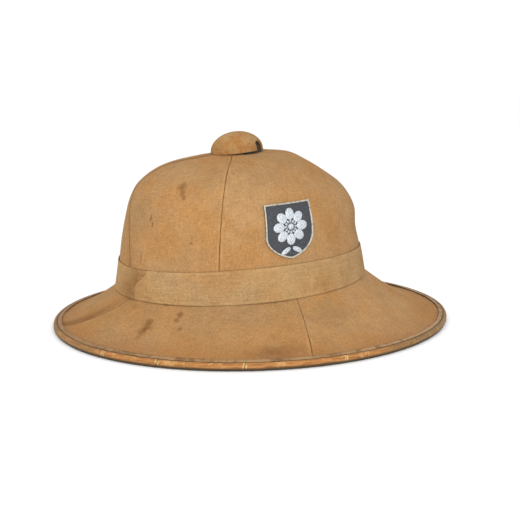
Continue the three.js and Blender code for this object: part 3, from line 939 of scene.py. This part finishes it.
def shield_outline(inset=0.0):
    """Points round the shield, drawn in by an inset, from the top right corner clockwise."""
    h, low = half - inset, drop - inset
    top = np.stack([np.linspace(-h, h, 25), np.full(25, half - inset)], -1)[:-1]
    right = np.stack([np.full(16, h), np.linspace(half - inset, half - BADGE_STRAIGHT, 16)], -1)[:-1]
    curve = bezier([(h, half - BADGE_STRAIGHT), (h, -low * 0.62), (h * 0.5, -low * 0.9), (0, -low)],
                   np.linspace(0, 1, 25))
    left = np.concatenate([curve[::-1][1:] * [-1, 1], right[::-1] * [-1, 1]])
    return np.concatenate([top, right, curve, left])[:-1]


print("shield outline:", len(shield_outline()), "points")

# %% The plate, its rim and its field
PLATE_RINGS = [
    (0.0, 0.0), (0.0, 0.75), (0.12, 0.88), (0.3, 1.0), (0.55, 1.02), (0.95, 0.98), (1.15, 0.8),
    (1.4, 0.3), (1.6, 0.22),
]
nothing_selected()
outline = shield_outline()
bpy.ops.mesh.primitive_circle_add(vertices=len(outline), radius=1, fill_type="NOTHING")
plate = named("badge_shield")
move_to(plate, np.column_stack([outline, np.zeros(len(outline))]))
edit_all()
rim_height = BADGE_PLATE + BADGE_RELIEF
ring_from = PLATE_RINGS[0]
for inset, height in PLATE_RINGS[1:]:
    shrink = 1 - (inset - ring_from[0]) * MM / (half - ring_from[0] * MM)
    extrude(z=(height - ring_from[1]) * rim_height)
    stretch(shrink, shrink, 1)
    ring_from = (inset, height)
for shrink in (0.94, 0.92, 0.9, 0.88, 0.86, 0.84, 0.8, 0.78, 0.72, 0.65, 0.5, 0.3):
    extrude()
    stretch(shrink, shrink, 1)
bpy.ops.mesh.merge(type="CENTER")
nothing_selected()
print("plate:", len(plate.data.polygons), "faces")

# %% [markdown]
# A petal is a flattened sphere with a groove along it. A function shapes one and lays it down, turned
# away from the middle. The ring, the boss and the leaves are made in the same way, and all of them
# are joined into one stamped device.

# %% The device: rosette, boss and leaves
field = BADGE_PLATE * 0.9


def grain(length, width, height, at, turned):
    """A flattened sphere that lies on the field, pointing away from the middle of its rosette."""
    nothing_selected()
    bpy.ops.mesh.primitive_uv_sphere_add(segments=28, ring_count=18, radius=1)
    seed = bpy.context.object
    stretch(width / 2, length / 2, height)
    apply_all(seed)
    pick(seed, lambda x, y, z: (abs(x) < width * 0.06) & (z > 0))
    bpy.ops.transform.translate(value=(0, 0, -height * 0.28))
    nothing_selected()
    x, y, _ = places(seed).T
    record_on(seed, "vein", abs(x) + 0.45 * y)
    seed.matrix_world = Matrix.Translation((*at, field)) @ Matrix.Rotation(turned, 4, "Z")
    apply_all(seed)
    return seed


ROSETTE_MIDDLE = 1.6 * MM


def petals(count, length, width, height, away):
    """A ring of petals round the middle of the rosette."""
    for number in range(count):
        turned = number * 2 * math.pi / count
        at = (-away * math.sin(turned), ROSETTE_MIDDLE + away * math.cos(turned))
        yield grain(length, width, height, at, turned)


parts = [
    *petals(8, 9.0 * MM, 7.2 * MM, 1.0 * MM, 9.4 * MM),
    *petals(12, 2.6 * MM, 1.7 * MM, 1.0 * MM, 4.0 * MM),
    grain(4.8 * MM, 4.8 * MM, 1.4 * MM, (0, ROSETTE_MIDDLE), 0),
]
for side in (-1, 1):
    leaf_at = (side * 4.6 * MM, -16.2 * MM)
    parts.append(grain(8.6 * MM, 3.8 * MM, 0.9 * MM, leaf_at, side * math.radians(60)))
nothing_selected()
for part in parts:
    part.select_set(True)
device = bpy.context.view_layer.objects.active = parts[0]
bpy.ops.object.join()
device.name = device.data.name = "badge_device"
print("device:", len(device.data.polygons), "faces from", len(parts), "parts")


# %% The badge, bent to the crown
climb_rows = np.linspace(1, 0.25, 400)
climb_line = block_point(climb_rows, turn_at(climb_rows, BADGE_BEARING))
climb = lengths_along(climb_line)


def badge_rule(x, y, z):
    row = np.interp(BADGE_ABOVE_BAND + drop + y + x * BADGE_TIP, climb, climb_rows)
    slanted = x * (1 + BADGE_WIDENS * (half - y)) + y * math.tan(BADGE_SLANT)
    middle = turn_at(row, BADGE_BEARING)
    span = np.linalg.norm(block_point(row, middle + STEP) - block_point(row, middle - STEP), axis=-1)
    turn = middle + slanted * 2 * STEP / span
    points = block_point(row, turn) + facing(row, turn, STEP) * (GAP + z)[:, None]
    return points, x, y, {"rim": smooth_between(z, field * 1.05, rim_height * 0.9)}


for part in (plate, device):
    lay(part, badge_rule)
    mend(part)
    smooth(part)
face_out(plate, (0, -0.012, 0.085))

# %% [markdown]
# ## Effects shared by the finishes
#
# Each effect that more than one finish uses is a node group with named sockets, made once. The
# first gives plain weave: warp threads run up, weft threads run across, and each passes over and
# under in turn. It reads the cloth's own UV map, which is in metres, so the threads keep their size.


# %% Tools for node groups
class Nodes:
    """A short way to place nodes in a tree and wire them."""

    def __init__(self, tree):
        self.tree = tree

    def feed(self, socket, value):
        """Links a socket to another one, or gives it a plain value."""
        if isinstance(value, bpy.types.NodeSocket):
            self.tree.links.new(value, socket)
        else:
            socket.default_value = value

    def add(self, kind, inputs=None, **settings):
        node = self.tree.nodes.new(kind)
        for name, value in settings.items():
            setattr(node, name, value)
        for name, value in (inputs or {}).items():
            self.feed(node.inputs[name], value)
        return node

    def place(self):
        return self.add("ShaderNodeTexCoord").outputs["Object"]

    def fact(self, name):
        """A number that was recorded on the mesh."""
        return self.add("ShaderNodeAttribute", attribute_name=name).outputs["Fac"]

    def group(self, tree, **inputs):
        return self.add("ShaderNodeGroup", inputs, node_tree=tree).outputs

    def math(self, operation, a, b=0.0, c=0.0):
        return self.add("ShaderNodeMath", {0: a, 1: b, 2: c}, operation=operation).outputs[0]

    def times(self, first, *others):
        for other in others:
            first = self.math("MULTIPLY", first, other)
        return first

    def vector(self, operation, a, b=(0, 0, 0), out=0):
        return self.add("ShaderNodeVectorMath", {0: a, 1: b}, operation=operation).outputs[out]

    def noise(self, vector, scale, detail=3.0, rough=0.55):
        node = self.add("ShaderNodeTexNoise", {
            "Vector": vector, "Scale": scale, "Detail": detail, "Roughness": rough})
        return node.outputs["Fac"]

    def ramp(self, value, low, high, to_low=0.0, to_high=1.0):
        node = self.add("ShaderNodeMapRange", {
            "Value": value, "From Min": low, "From Max": high, "To Min": to_low, "To Max": to_high,
        }, interpolation_type="SMOOTHSTEP")
        return node.outputs[0]

    def blend(self, a, b, share, how="MIX"):
        node = self.add("ShaderNodeMix", data_type="RGBA", blend_type=how, clamp_factor=True)
        for number, value in ((0, share), (6, a), (7, b)):
            self.feed(node.inputs[number], value)
        return node.outputs[2]

    def shaded(self, colour, shade):
        """A colour made darker or paler by a number, where 1 leaves it alone."""
        grey = self.add("ShaderNodeCombineColor", {0: shade, 1: shade, 2: shade}).outputs[0]
        return self.blend(colour, grey, 1.0, "MULTIPLY")

    def bump(self, height, strength, distance):
        node = self.add("ShaderNodeBump", {"Height": height, "Strength": strength, "Distance": distance})
        return node.outputs[0]


def new_group(name, inputs, outputs):
    tree = bpy.data.node_groups.new(name, "ShaderNodeTree")
    for socket_name, (kind, value) in inputs.items():
        socket = tree.interface.new_socket(name=socket_name, in_out="INPUT", socket_type=kind)
        socket.default_value = value
    for socket_name, kind in outputs.items():
        tree.interface.new_socket(name=socket_name, in_out="OUTPUT", socket_type=kind)
    nodes = Nodes(tree)
    return nodes, nodes.add("NodeGroupInput").outputs, nodes.add("NodeGroupOutput").inputs


FLOAT, VECTOR = "NodeSocketFloat", "NodeSocketVector"
print("node tools ready")

# %% Group: plain weave
n, given, result = new_group(
    "Plain weave",
    {"Cloth": (VECTOR, (0, 0, 0)), "Pitch": (FLOAT, 0.0006)},
    {"Height": FLOAT, "Slubs": FLOAT},
)
weave_tree = n.tree
threads = n.vector("DIVIDE", given["Cloth"], n.add(
    "ShaderNodeCombineXYZ", {0: given["Pitch"], 1: given["Pitch"], 2: 1.0}).outputs[0])
wobble = n.noise(n.vector("MULTIPLY", threads, (0.12, 0.12, 0)), 1.0, 2.0)
xyz = n.add("ShaderNodeSeparateXYZ", {0: threads})
x = n.math("ADD", xyz.outputs[0], n.times(wobble, 0.9))
y = n.math("ADD", xyz.outputs[1], n.times(wobble, 0.9))
parity = n.math("FLOORED_MODULO", n.math("ADD", n.math("FLOOR", x), n.math("FLOOR", y)), 2.0)
warp = n.math("ABSOLUTE", n.math("SINE", n.times(x, math.pi)))
weft = n.math("ABSOLUTE", n.math("SINE", n.times(y, math.pi)))
over = n.times(warp, n.math("MULTIPLY_ADD", parity, 0.5, 0.5))
under = n.times(weft, n.math("MULTIPLY_ADD", parity, -0.5, 1.0))
n.feed(result["Height"], n.math("MAXIMUM", over, under))
long_warp = n.noise(n.vector("MULTIPLY", threads, (0.8, 0.07, 0)), 1.0, 2.0)
long_weft = n.noise(n.vector("MULTIPLY", threads, (0.07, 0.8, 3)), 1.0, 2.0)
n.feed(result["Slubs"], n.math("ADD", long_warp, n.math("SUBTRACT", long_weft, 1.0)))
print("plain weave:", len(n.tree.nodes), "nodes")

# %% Group: one stain
n, given, result = new_group(
    "Stain",
    {"Place": (VECTOR, (0, 0, 0)), "Middle": (VECTOR, (0, 0, 0)), "Reach": (VECTOR, (0.01, 0.01, 0.01)),
     "Ragged": (FLOAT, 0.5), "Soft": (FLOAT, 0.5)},
    {"Mask": FLOAT},
)
stain_tree = n.tree
away = n.vector("DIVIDE", n.vector("SUBTRACT", given["Place"], given["Middle"]), given["Reach"])
far = n.vector("LENGTH", away, out=1)
torn = n.times(n.math("SUBTRACT", n.noise(given["Place"], 260.0, 4.0, 0.6), 0.5), given["Ragged"])
level = n.math("ADD", n.math("SUBTRACT", 1.0, far), n.times(torn, 2.0))
n.feed(result["Mask"], n.ramp(level, 0.0, given["Soft"]))
print("stain:", len(n.tree.nodes), "nodes")

# %% Group: dirt and wear along seams
n, given, result = new_group(
    "Seam wear",
    {"Distance": (FLOAT, 0.01), "Mark": (FLOAT, 1.0), "Place": (VECTOR, (0, 0, 0))},
    {"Dirt": FLOAT, "Rubbed": FLOAT},
)
seam_tree = n.tree
patchy = n.noise(given["Place"], 110.0, 3.0, 0.6)
line = n.ramp(given["Distance"], 0.0001, 0.0007, 1.0, 0.0)
n.feed(result["Dirt"], n.times(line, n.ramp(patchy, 0.3, 0.6, 0.45, 1.0), given["Mark"]))
rise = n.ramp(given["Distance"], 0.0006, 0.0012)
fall = n.ramp(given["Distance"], 0.0014, 0.0028, 1.0, 0.0)
n.feed(result["Rubbed"], n.times(rise, fall, n.ramp(patchy, 0.42, 0.62), given["Mark"]))
print("seam wear:", len(n.tree.nodes), "nodes")

# %% [markdown]
# ## Canvas
#
# The canvas is old and tan: warmer where it has browned, greyer where dust lies, with thin slubs,
# a few blots and a brown patch near the rim. The stains sit at measured places on the helmet. Shade is
# painted in too: darker towards the back, in the hollows of the weave, and with dirt beside the front
# seams and at the band's lapped end.


# %% The canvas finish
def srgb(r, g, b):
    def linear(c):
        c /= 255
        return c / 12.92 if c <= 0.04045 else ((c + 0.055) / 1.055) ** 2.4
    return (linear(r), linear(g), linear(b), 1.0)


# Each stain: its middle and its reach along x, y and z in millimetres, raggedness, softness, strength
STAINS = [
    ((39.7, -82.3, 118.5), (5.4, 6.0, 6.2), 0.55, 0.8, 0.66),
    ((44.2, -83.3, 114.0), (3.6, 4.0, 3.8), 0.6, 0.8, 0.58),
    ((46.5, -83.6, 110.9), (1.6, 2.3, 2.8), 0.3, 0.5, 0.55),
    ((28.5, -103.1, 94.8), (1.4, 2.4, 5.0), 0.4, 0.6, 0.6),
    ((31.3, -102.8, 89.9), (1.4, 2.4, 3.2), 0.4, 0.6, 0.65),
    ((58.5, -82.8, 78.6), (1.8, 1.8, 1.8), 0.3, 0.8, 0.6),
    ((55.1, -114.2, 21.7), (4.4, 4.8, 4.8), 0.5, 0.8, 0.55),
    ((58.4, -117.6, 18.6), (7.4, 6.8, 6.4), 0.7, 1.0, 0.72),
    ((60.3, -122.2, 15.6), (5.6, 5.4, 5.2), 0.6, 0.9, 0.6),
    ((63.0, -125.8, 13.0), (3.4, 3.6, 4.0), 0.5, 0.8, 0.4),
    ((65.3, -94.5, 27.4), (3.8, 4.2, 4.2), 0.5, 0.8, 0.72),
    ((67.8, -98.2, 24.2), (3.4, 3.8, 4.0), 0.5, 0.8, 0.66),
    ((75.8, -98.8, 19.8), (2.3, 2.8, 3.4), 0.5, 0.8, 0.62),
    ((73.6, -70.2, 35.2), (7.5, 9, 2.6), 0.5, 1.0, 0.4),
    ((50.8, -98.9, 32.2), (3.0, 4.0, 2.0), 0.4, 0.7, 0.6),
    ((123.0, -38, 8.5), (17, 28, 8), 0.4, 1.0, 0.42),
    ((121.0, -52, 8.5), (14, 24, 5), 0.5, 1.0, 0.32),
    ((31.5, -117.8, 28.0), (5, 3.5, 4), 0.4, 0.9, 0.4),
    ((30.9, -108.0, 53.5), (2.6, 3.2, 3.0), 0.5, 0.7, 0.75),
    ((24.0, -113.0, 45.0), (3.4, 3.4, 8.0), 0.6, 1.0, 0.4),
    ((26.0, -111.0, 66.0), (1.4, 2.0, 9.0), 0.4, 0.8, 0.5),
]
SPECKS = [((132.1, -35.6, 5.4), 0.9), ((86.2, -9.2, 59.8), 0.7), ((30.5, -143.6, 12.6), 0.6)]


def new_material(name):
    """A material with a Principled shader; returns it, its nodes and the shader's sockets."""
    material = bpy.data.materials.new(name)
    material.use_nodes = True
    material.node_tree.nodes.clear()
    n = Nodes(material.node_tree)
    shader = n.add("ShaderNodeBsdfPrincipled")
    n.add("ShaderNodeOutputMaterial", {"Surface": shader.outputs[0]})
    return material, n, shader.inputs


def finish_with(n, shader, **values):
    """Feeds the shader's sockets, named with _ for each space."""
    for name, value in values.items():
        n.feed(shader[name.replace("_", " ")], value)


def stain_mask(n, place, middle, reach, ragged, soft):
    return n.group(stain_tree, Place=place, Middle=[c * MM for c in middle],
                   Reach=[c * MM for c in reach], Ragged=ragged, Soft=soft)["Mask"]


def canvas_finish(name, tan, warm, grey, stained=True, weft=0.0, mottled=0.1,
                  rear_shade=(-0.06, 0.08, 1.0, 0.88)):
    material, n, shader = new_material(name)
    place = n.place()
    cloth = n.add("ShaderNodeUVMap", uv_map="cloth").outputs[0]
    facts = ("seam", "mark", "allowance", "edge", "lap_shade_and_dirt", "brim", "seam_shade_and_dirt")
    fact = {each: n.fact(each) for each in facts}
    weave = n.group(weave_tree, Cloth=cloth, Pitch=0.00062)
    wear = n.group(seam_tree, Distance=fact["seam"], Mark=fact["mark"], Place=place)

    # Slow changes of tone: browned patches and grey dust, then painted shade mixed with dirt beside the
    # front seams and at the band's lapped end
    colour = n.blend(srgb(*tan), srgb(*warm), n.ramp(n.noise(place, 24.0, 4.0, 0.6), 0.42, 0.64))
    colour = n.blend(colour, srgb(*grey), n.ramp(n.noise(place, 17.0, 4.0, 0.65), 0.46, 0.72, 0.0, 0.75))
    clouds = n.noise(place, 75.0, 4.0, 0.6)
    browned = n.times(n.ramp(fact["edge"], 0.006, 0.034, 1.0, 0.0), fact["brim"],
                      n.ramp(clouds, 0.34, 0.6, 0.25, 0.75), 0.75)
    colour = n.blend(colour, srgb(154, 105, 62), browned)
    # Painted shade mixed with dirt beside the front seams of crown and brim
    spread = n.math("DIVIDE", fact["seam"], n.math("MAXIMUM", fact["seam_shade_and_dirt"], 0.001))
    shade_and_dirt_beside = n.times(n.ramp(spread, 0.0, 0.021, 1.0, 0.0), n.math("GREATER_THAN", fact["seam_shade_and_dirt"], 0.01),
                     n.ramp(fact["edge"], 0.06, 0.02, 0.3, 1.0), n.ramp(clouds, 0.3, 0.62, 0.6, 1.0))
    colour = n.blend(colour, srgb(102, 62, 32), shade_and_dirt_beside)
    colour = n.blend(colour, srgb(*warm), n.times(fact["allowance"], 0.3))
    # Painted shade mixed with dirt on the band's lapped end, fading out over about 30 mm
    colour = n.blend(colour, srgb(122, 86, 50), n.times(fact["lap_shade_and_dirt"], 0.55))

    # Grain: single dark and pale threads, then the weave itself
    fine = n.noise(place, 620.0, 4.0, 0.8)
    flecks = n.ramp(n.noise(place, 430.0, 3.0, 0.7), 0.6, 0.69, 0.0, 0.3)
    colour = n.blend(colour, srgb(112, 80, 48), flecks)
    mottles = n.ramp(n.noise(place, 130.0, 3.0, 0.6), 0.5, 0.64, 0.0, mottled)
    colour = n.blend(colour, srgb(148, 96, 48), mottles)
    shade = n.math("MULTIPLY_ADD", n.math("SUBTRACT", clouds, 0.5), 0.3, 0.99)
    shade = n.math("ADD", shade, n.math("SUBTRACT", fine, 0.5))
    shade = n.math("ADD", shade, n.times(weave["Slubs"], 0.42))
    if weft:
        lines = n.noise(n.vector("MULTIPLY", cloth, (40, 1100, 0)), 1.0, 2.0)
        shade = n.math("ADD", shade, n.times(n.math("SUBTRACT", lines, 0.5), weft))
    # Painted shade: the weave's hollows are made darker than the crests of its threads
    shade = n.times(shade, n.math("MULTIPLY_ADD", weave["Height"], 0.16, 0.9))
    # Painted shade: darker towards the back of the helmet, except on the brim; the cap is also painted
    # paler at its front
    backward = n.add("ShaderNodeSeparateXYZ", {0: place}).outputs[1]
    shade = n.times(shade, n.math("MAXIMUM", n.ramp(backward, *rear_shade), fact["brim"]))
    colour = n.shaded(colour, shade)

    if stained:
        broken = n.ramp(fine, 0.3, 0.65, 0.65, 1.0)
        for middle, reach, ragged, soft, strength in STAINS:
            mask = stain_mask(n, place, middle, reach, ragged, soft)
            colour = n.blend(colour, srgb(104, 64, 34), n.times(mask, broken, strength))
        for middle, reach in SPECKS:
            mask = stain_mask(n, place, middle, [reach] * 3, 0.2, 0.4)
            colour = n.blend(colour, srgb(206, 190, 160), n.times(mask, 0.8))
    colour = n.blend(colour, srgb(74, 46, 24), n.times(wear["Dirt"], 0.6))
    colour = n.blend(colour, srgb(196, 158, 108), n.times(wear["Rubbed"], 0.35))

    finish_with(n, shader, Base_Color=colour, Roughness=n.ramp(fine, 0.3, 0.7, 0.88, 0.98),
                Normal=n.bump(weave["Height"], 0.5, 0.00018), Specular_IOR_Level=0.06,
                Sheen_Weight=0.03, Sheen_Roughness=0.6, Sheen_Tint=(0.8, 0.6, 0.4, 1))
    print(name, "finish:", len(n.tree.nodes), "nodes")
    return material


canvas = canvas_finish("tan canvas", (166, 129, 87), (165, 122, 75), (150, 118, 80))
band_canvas = canvas_finish("band canvas", (169, 136, 94), (165, 127, 82), (154, 125, 88), weft=0.4)
# The cap's painted shade runs from paler at its front to darker at its back
cap_canvas = canvas_finish("cap canvas", (160, 128, 86), (154, 115, 71), (136, 109, 73), stained=False,
                           mottled=0.6, rear_shade=(-0.03, 0.015, 1.1, 0.78))

# %% [markdown]
# ## Leather, thread, lining and cork
#
# The binding is old leather: a roll rubbed to a bright orange tan and a duller tan lip. Light and shade
# are painted in too: the roll is painted duller where it turns from the light, the underside and foot,
# the groove and the lip's edge get painted shade, and the creases get painted shade with pale painted
# highlights on their flanks.

# %% The leather finish
leather, n, shader = new_material("worn leather")
place = n.place()
strip = n.add("ShaderNodeUVMap", uv_map="cloth").outputs[0]
roll, in_front = n.fact("roll"), n.fact("in_front")
blotches = n.noise(place, 90.0, 5.0, 0.65)
streaks = n.noise(n.vector("MULTIPLY", strip, (60, 900, 1)), 1.0, 3.0, 0.6)
lip = n.blend(srgb(158, 125, 86), srgb(122, 91, 57), n.ramp(blotches, 0.44, 0.64))
lip = n.blend(lip, srgb(142, 104, 64), n.ramp(in_front, 0.0, 1.0, 0.0, 0.75))
worn_and_lit = n.blend(srgb(178, 121, 62), srgb(140, 88, 42), n.ramp(streaks, 0.44, 0.6))
worn_and_lit = n.blend(worn_and_lit, srgb(190, 146, 90), n.ramp(blotches, 0.54, 0.66, 0.0, 0.8))
# Painted highlight: the flanks beside each crease are made pale
pale = n.times(n.ramp(n.fact("flank"), 0.3, 0.8, 0.0, 0.85),
               n.ramp(n.noise(place, 160.0, 3.0, 0.6), 0.4, 0.58))
worn_and_lit = n.blend(worn_and_lit, srgb(214, 174, 116), pale)
# Painted shade: the roll is made duller where it turns away from the light
dull = n.times(n.fact("roll_shade"), n.ramp(blotches, 0.4, 0.62, 1.0, 0.7))
worn_and_lit = n.blend(worn_and_lit, srgb(112, 90, 56), dull)
colour = n.blend(lip, worn_and_lit, n.ramp(roll, 0.25, 0.75))
# Painted shade: darker towards the bottom of the binding, on the roll's underside and the foot
height = n.add("ShaderNodeSeparateXYZ", {0: place}).outputs[2]
colour = n.blend(colour, srgb(56, 47, 29), n.ramp(height, 0.0017, 0.0036, 0.93, 0.0))
# Painted shade in the groove between lip and roll
groove = n.times(n.ramp(roll, 0.05, 0.16), n.ramp(roll, 0.16, 0.4, 1.0, 0.0),
                 n.ramp(in_front, 0.0, 1.0, 1.0, 0.45), 0.95)
colour = n.blend(colour, srgb(42, 30, 20), groove)
# Painted shadow along the lip's inner edge, where it meets the cloth
colour = n.blend(colour, srgb(42, 30, 20), n.times(n.fact("lip_edge"), 0.85))
# Painted shade in the creases of the roll
crease_shade = n.times(n.ramp(n.fact("crease"), 0.4, 0.8), n.ramp(roll, 0.2, 0.5),
                n.ramp(n.noise(place, 520.0, 3.0, 0.6), 0.38, 0.56, 0.3, 0.95))
colour = n.blend(colour, srgb(70, 40, 20), crease_shade)
colour = n.blend(colour, srgb(92, 62, 34), n.ramp(n.noise(place, 700.0, 4.0, 0.7), 0.52, 0.74, 0.0, 0.4))
finish_with(n, shader, Base_Color=colour, Roughness=n.ramp(blotches, 0.3, 0.7, 0.55, 0.8),
            Specular_IOR_Level=0.3, Normal=n.bump(n.noise(place, 1500.0, 4.0, 0.7), 0.35, 0.0002))
print("leather:", len(n.tree.nodes), "nodes")

# %% Thread, lining and cork
thread, n, shader = new_material("waxed thread")
colour = n.blend(srgb(112, 84, 54), srgb(82, 60, 38), n.noise(n.place(), 900.0))
finish_with(n, shader, Base_Color=colour, Roughness=0.7)

lining, n, shader = new_material("lining cloth")
weave = n.group(weave_tree, Cloth=n.add("ShaderNodeUVMap", uv_map="cloth").outputs[0], Pitch=0.0005)
colour = n.blend(srgb(150, 124, 84), srgb(122, 104, 72), n.ramp(n.noise(n.place(), 22.0, 4.0), 0.4, 0.65))
# Painted shade: the weave's hollows are made darker than its threads
colour = n.shaded(colour, n.math("MULTIPLY_ADD", weave["Height"], 0.25, 0.8))
finish_with(n, shader, Base_Color=colour, Roughness=0.95, Normal=n.bump(weave["Height"], 0.4, 0.00015))

cork, n, shader = new_material("pressed cork")
cells = n.add("ShaderNodeTexVoronoi", {"Vector": n.place(), "Scale": 420.0}).outputs["Distance"]
colour = n.blend(srgb(150, 112, 70), srgb(96, 66, 38), n.ramp(cells, 0.2, 0.6))
finish_with(n, shader, Base_Color=colour, Roughness=0.9, Normal=n.bump(cells, 0.4, 0.0004))

# A near-black sheet that stands in for the shade under the cap
shade_skirt_finish, n, shader = new_material("dark gauze")
colour = n.blend(srgb(34, 28, 22), srgb(58, 48, 36), n.ramp(n.noise(n.place(), 1400.0, 3.0), 0.4, 0.65))
finish_with(n, shader, Base_Color=colour, Roughness=0.95)
print("thread, lining, cork and gauze ready")

# %% [markdown]
# ## The badge's finishes
#
# The plate has a dark field of rough enamel and a pale warm silver rim, told apart by the height
# that was recorded on the mesh. The device is dull silver with dark dirt in its hollows.

# %% Badge finishes
enamel, n, shader = new_material("shield enamel and rim")
place = n.place()
rim = n.fact("rim")
grit = n.noise(place, 1800.0, 4.0, 0.75)
dark = n.blend(srgb(38, 41, 47), srgb(118, 122, 126), n.ramp(grit, 0.53, 0.7))
silver = n.blend(srgb(186, 181, 168), srgb(132, 126, 112), n.ramp(n.noise(place, 500.0, 3.0), 0.45, 0.7))
# The plate's low side wall takes the dark field colour too, which also serves as a painted shadow round
# the badge
finish_with(n, shader, Base_Color=n.blend(dark, silver, n.ramp(rim, 0.2, 0.6)),
            Metallic=n.ramp(rim, 0.2, 0.6, 0.0, 0.55), Roughness=n.ramp(grit, 0.3, 0.7, 0.4, 0.65),
            Normal=n.bump(grit, 0.3, 0.00015))

VEIN_PITCH = 1.7 * MM
silvered, n, shader = new_material("dull silver")
grit = n.noise(n.place(), 1300.0, 4.0, 0.7)
lines = n.math("ABSOLUTE", n.math("SINE", n.times(n.fact("vein"), math.pi / VEIN_PITCH)))
colour = n.blend(srgb(196, 202, 208), srgb(128, 134, 140), n.ramp(grit, 0.52, 0.74))
colour = n.blend(srgb(52, 55, 60), colour, n.ramp(lines, 0.05, 0.45, 0.35, 1.0))
colour = n.blend(srgb(46, 49, 54), colour, n.ramp(n.fact("rim"), 0.0, 0.4))
finish_with(n, shader, Base_Color=colour, Metallic=0.3, Roughness=n.ramp(grit, 0.3, 0.7, 0.4, 0.6),
            Normal=n.bump(lines, 0.5, 0.0002))
print("badge finishes ready")

# %% [markdown]
# ## Dressing the frame
#
# Each piece gets its finish and rides on the model's one body, and the solids it stands for are hidden.


# %% Finishes, bodies and replaced solids
def dress(piece, finish, slot, *nodes):
    piece.data.materials.clear()
    for one in finish if isinstance(finish, (list, tuple)) else [finish]:
        piece.data.materials.append(one)
    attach(piece, "root")
    if nodes:
        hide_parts(*nodes)


for number, cloth in enumerate(crown_cloths, 1):
    dress(cloth, canvas, "canvas", f"crown_panel_{number}")
for number, cloth in enumerate(brim_cloths, 1):
    dress(cloth, canvas, "canvas", f"brim_panel_{number}")
dress(band, band_canvas, "band_canvas", "band")
dress(cap, cap_canvas, "canvas", "vent_cap")
dress(binding, leather, "leather", "rim_binding")
dress(stitch, thread, "leather")
dress(shade_skirt, shade_skirt_finish, "canvas")
dress(shell, [cork, lining], "cork", "shell")
lined = attribute_of(shell, "lining")
for face in shell.data.polygons:
    face.material_index = int(np.mean(lined[list(face.vertices)]) > 0.5)
dress(plate, enamel, "badge_metal", "badge")
dress(device, silvered, "badge_metal")
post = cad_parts["vent_post"]
post.data.materials.clear()
post.data.materials.append(cork)
others = [band, cap, binding, stitch, shade_skirt, shell, plate, device, post]
print("pieces dressed:", len(crown_cloths) + len(brim_cloths) + len(others))

# %% [markdown]
# ## Floor, light and camera
#
# The helmet stands on a plain pale floor in soft light that comes mostly from the camera's side.
# The camera stands where the photographer's did: a little above the brim, off the wearer's left.

# %% Floor and light
nothing_selected()
bpy.ops.mesh.primitive_plane_add(size=30)
floor = bpy.context.object
floor.name = "floor"
pale, n, shader = new_material("pale floor")
finish_with(n, shader, Base_Color=(0.97, 0.97, 0.97, 1), Roughness=0.9)
floor.data.materials.append(pale)
floor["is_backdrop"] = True

world = bpy.data.worlds.new("studio")
bpy.context.scene.world = world
world.use_nodes = True
sky = world.node_tree.nodes["Background"].inputs
sky["Color"].default_value, sky["Strength"].default_value = (1, 1, 1, 1), 1.04


def soft_light(name, size, power, azimuth, height, distance, aim=(0, -0.01, 0.06)):
    data = bpy.data.lights.new(name, "AREA")
    data.shape, data.size, data.energy = "DISK", size, power
    lamp = bpy.data.objects.new(name, data)
    a = math.radians(azimuth)
    lamp.location = (distance * math.sin(a), -distance * math.cos(a), height)
    lamp.rotation_euler = (Vector(aim) - lamp.location).to_track_quat("-Z", "Y").to_euler()
    bpy.context.scene.collection.objects.link(lamp)


soft_light("key", 1.2, 14, 72, 0.55, 1.7)
soft_light("fill", 1.6, 3, 20, 0.9, 1.8)
print("floor and lights set")

# %% Camera
CAMERA_DISTANCE, CAMERA_HEIGHT = 0.7105, 0.19508
azimuth, pitch, lean = math.radians(63.66), math.radians(11.666), math.radians(0.70)
right = Vector((math.cos(azimuth), math.sin(azimuth), 0))
ahead = Vector((
    -math.sin(azimuth) * math.cos(pitch), math.cos(azimuth) * math.cos(pitch), -math.sin(pitch)))
up = right.cross(ahead)
turned_right = right * math.cos(lean) + up * math.sin(lean)
turned_up = up * math.cos(lean) - right * math.sin(lean)
lens = bpy.data.cameras.new("camera")
lens.lens, lens.sensor_width, lens.shift_x = 59.32, 36, 0.0073
camera = bpy.data.objects.new("camera", lens)
stands_at = (CAMERA_DISTANCE * math.sin(azimuth), -CAMERA_DISTANCE * math.cos(azimuth), CAMERA_HEIGHT)
looks_along = Matrix((turned_right, turned_up, -ahead)).transposed().to_4x4()
camera.matrix_world = Matrix.Translation(stands_at) @ looks_along
bpy.context.scene.collection.objects.link(camera)
bpy.context.scene.camera = camera
bpy.context.scene.view_settings.view_transform = "Standard"
print("camera at", [round(c, 3) for c in camera.location])

# %% Sizes and the end
model_box = [list(corner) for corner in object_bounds()]
print("visual box:", [[round(c, 4) for c in corner] for corner in model_box])
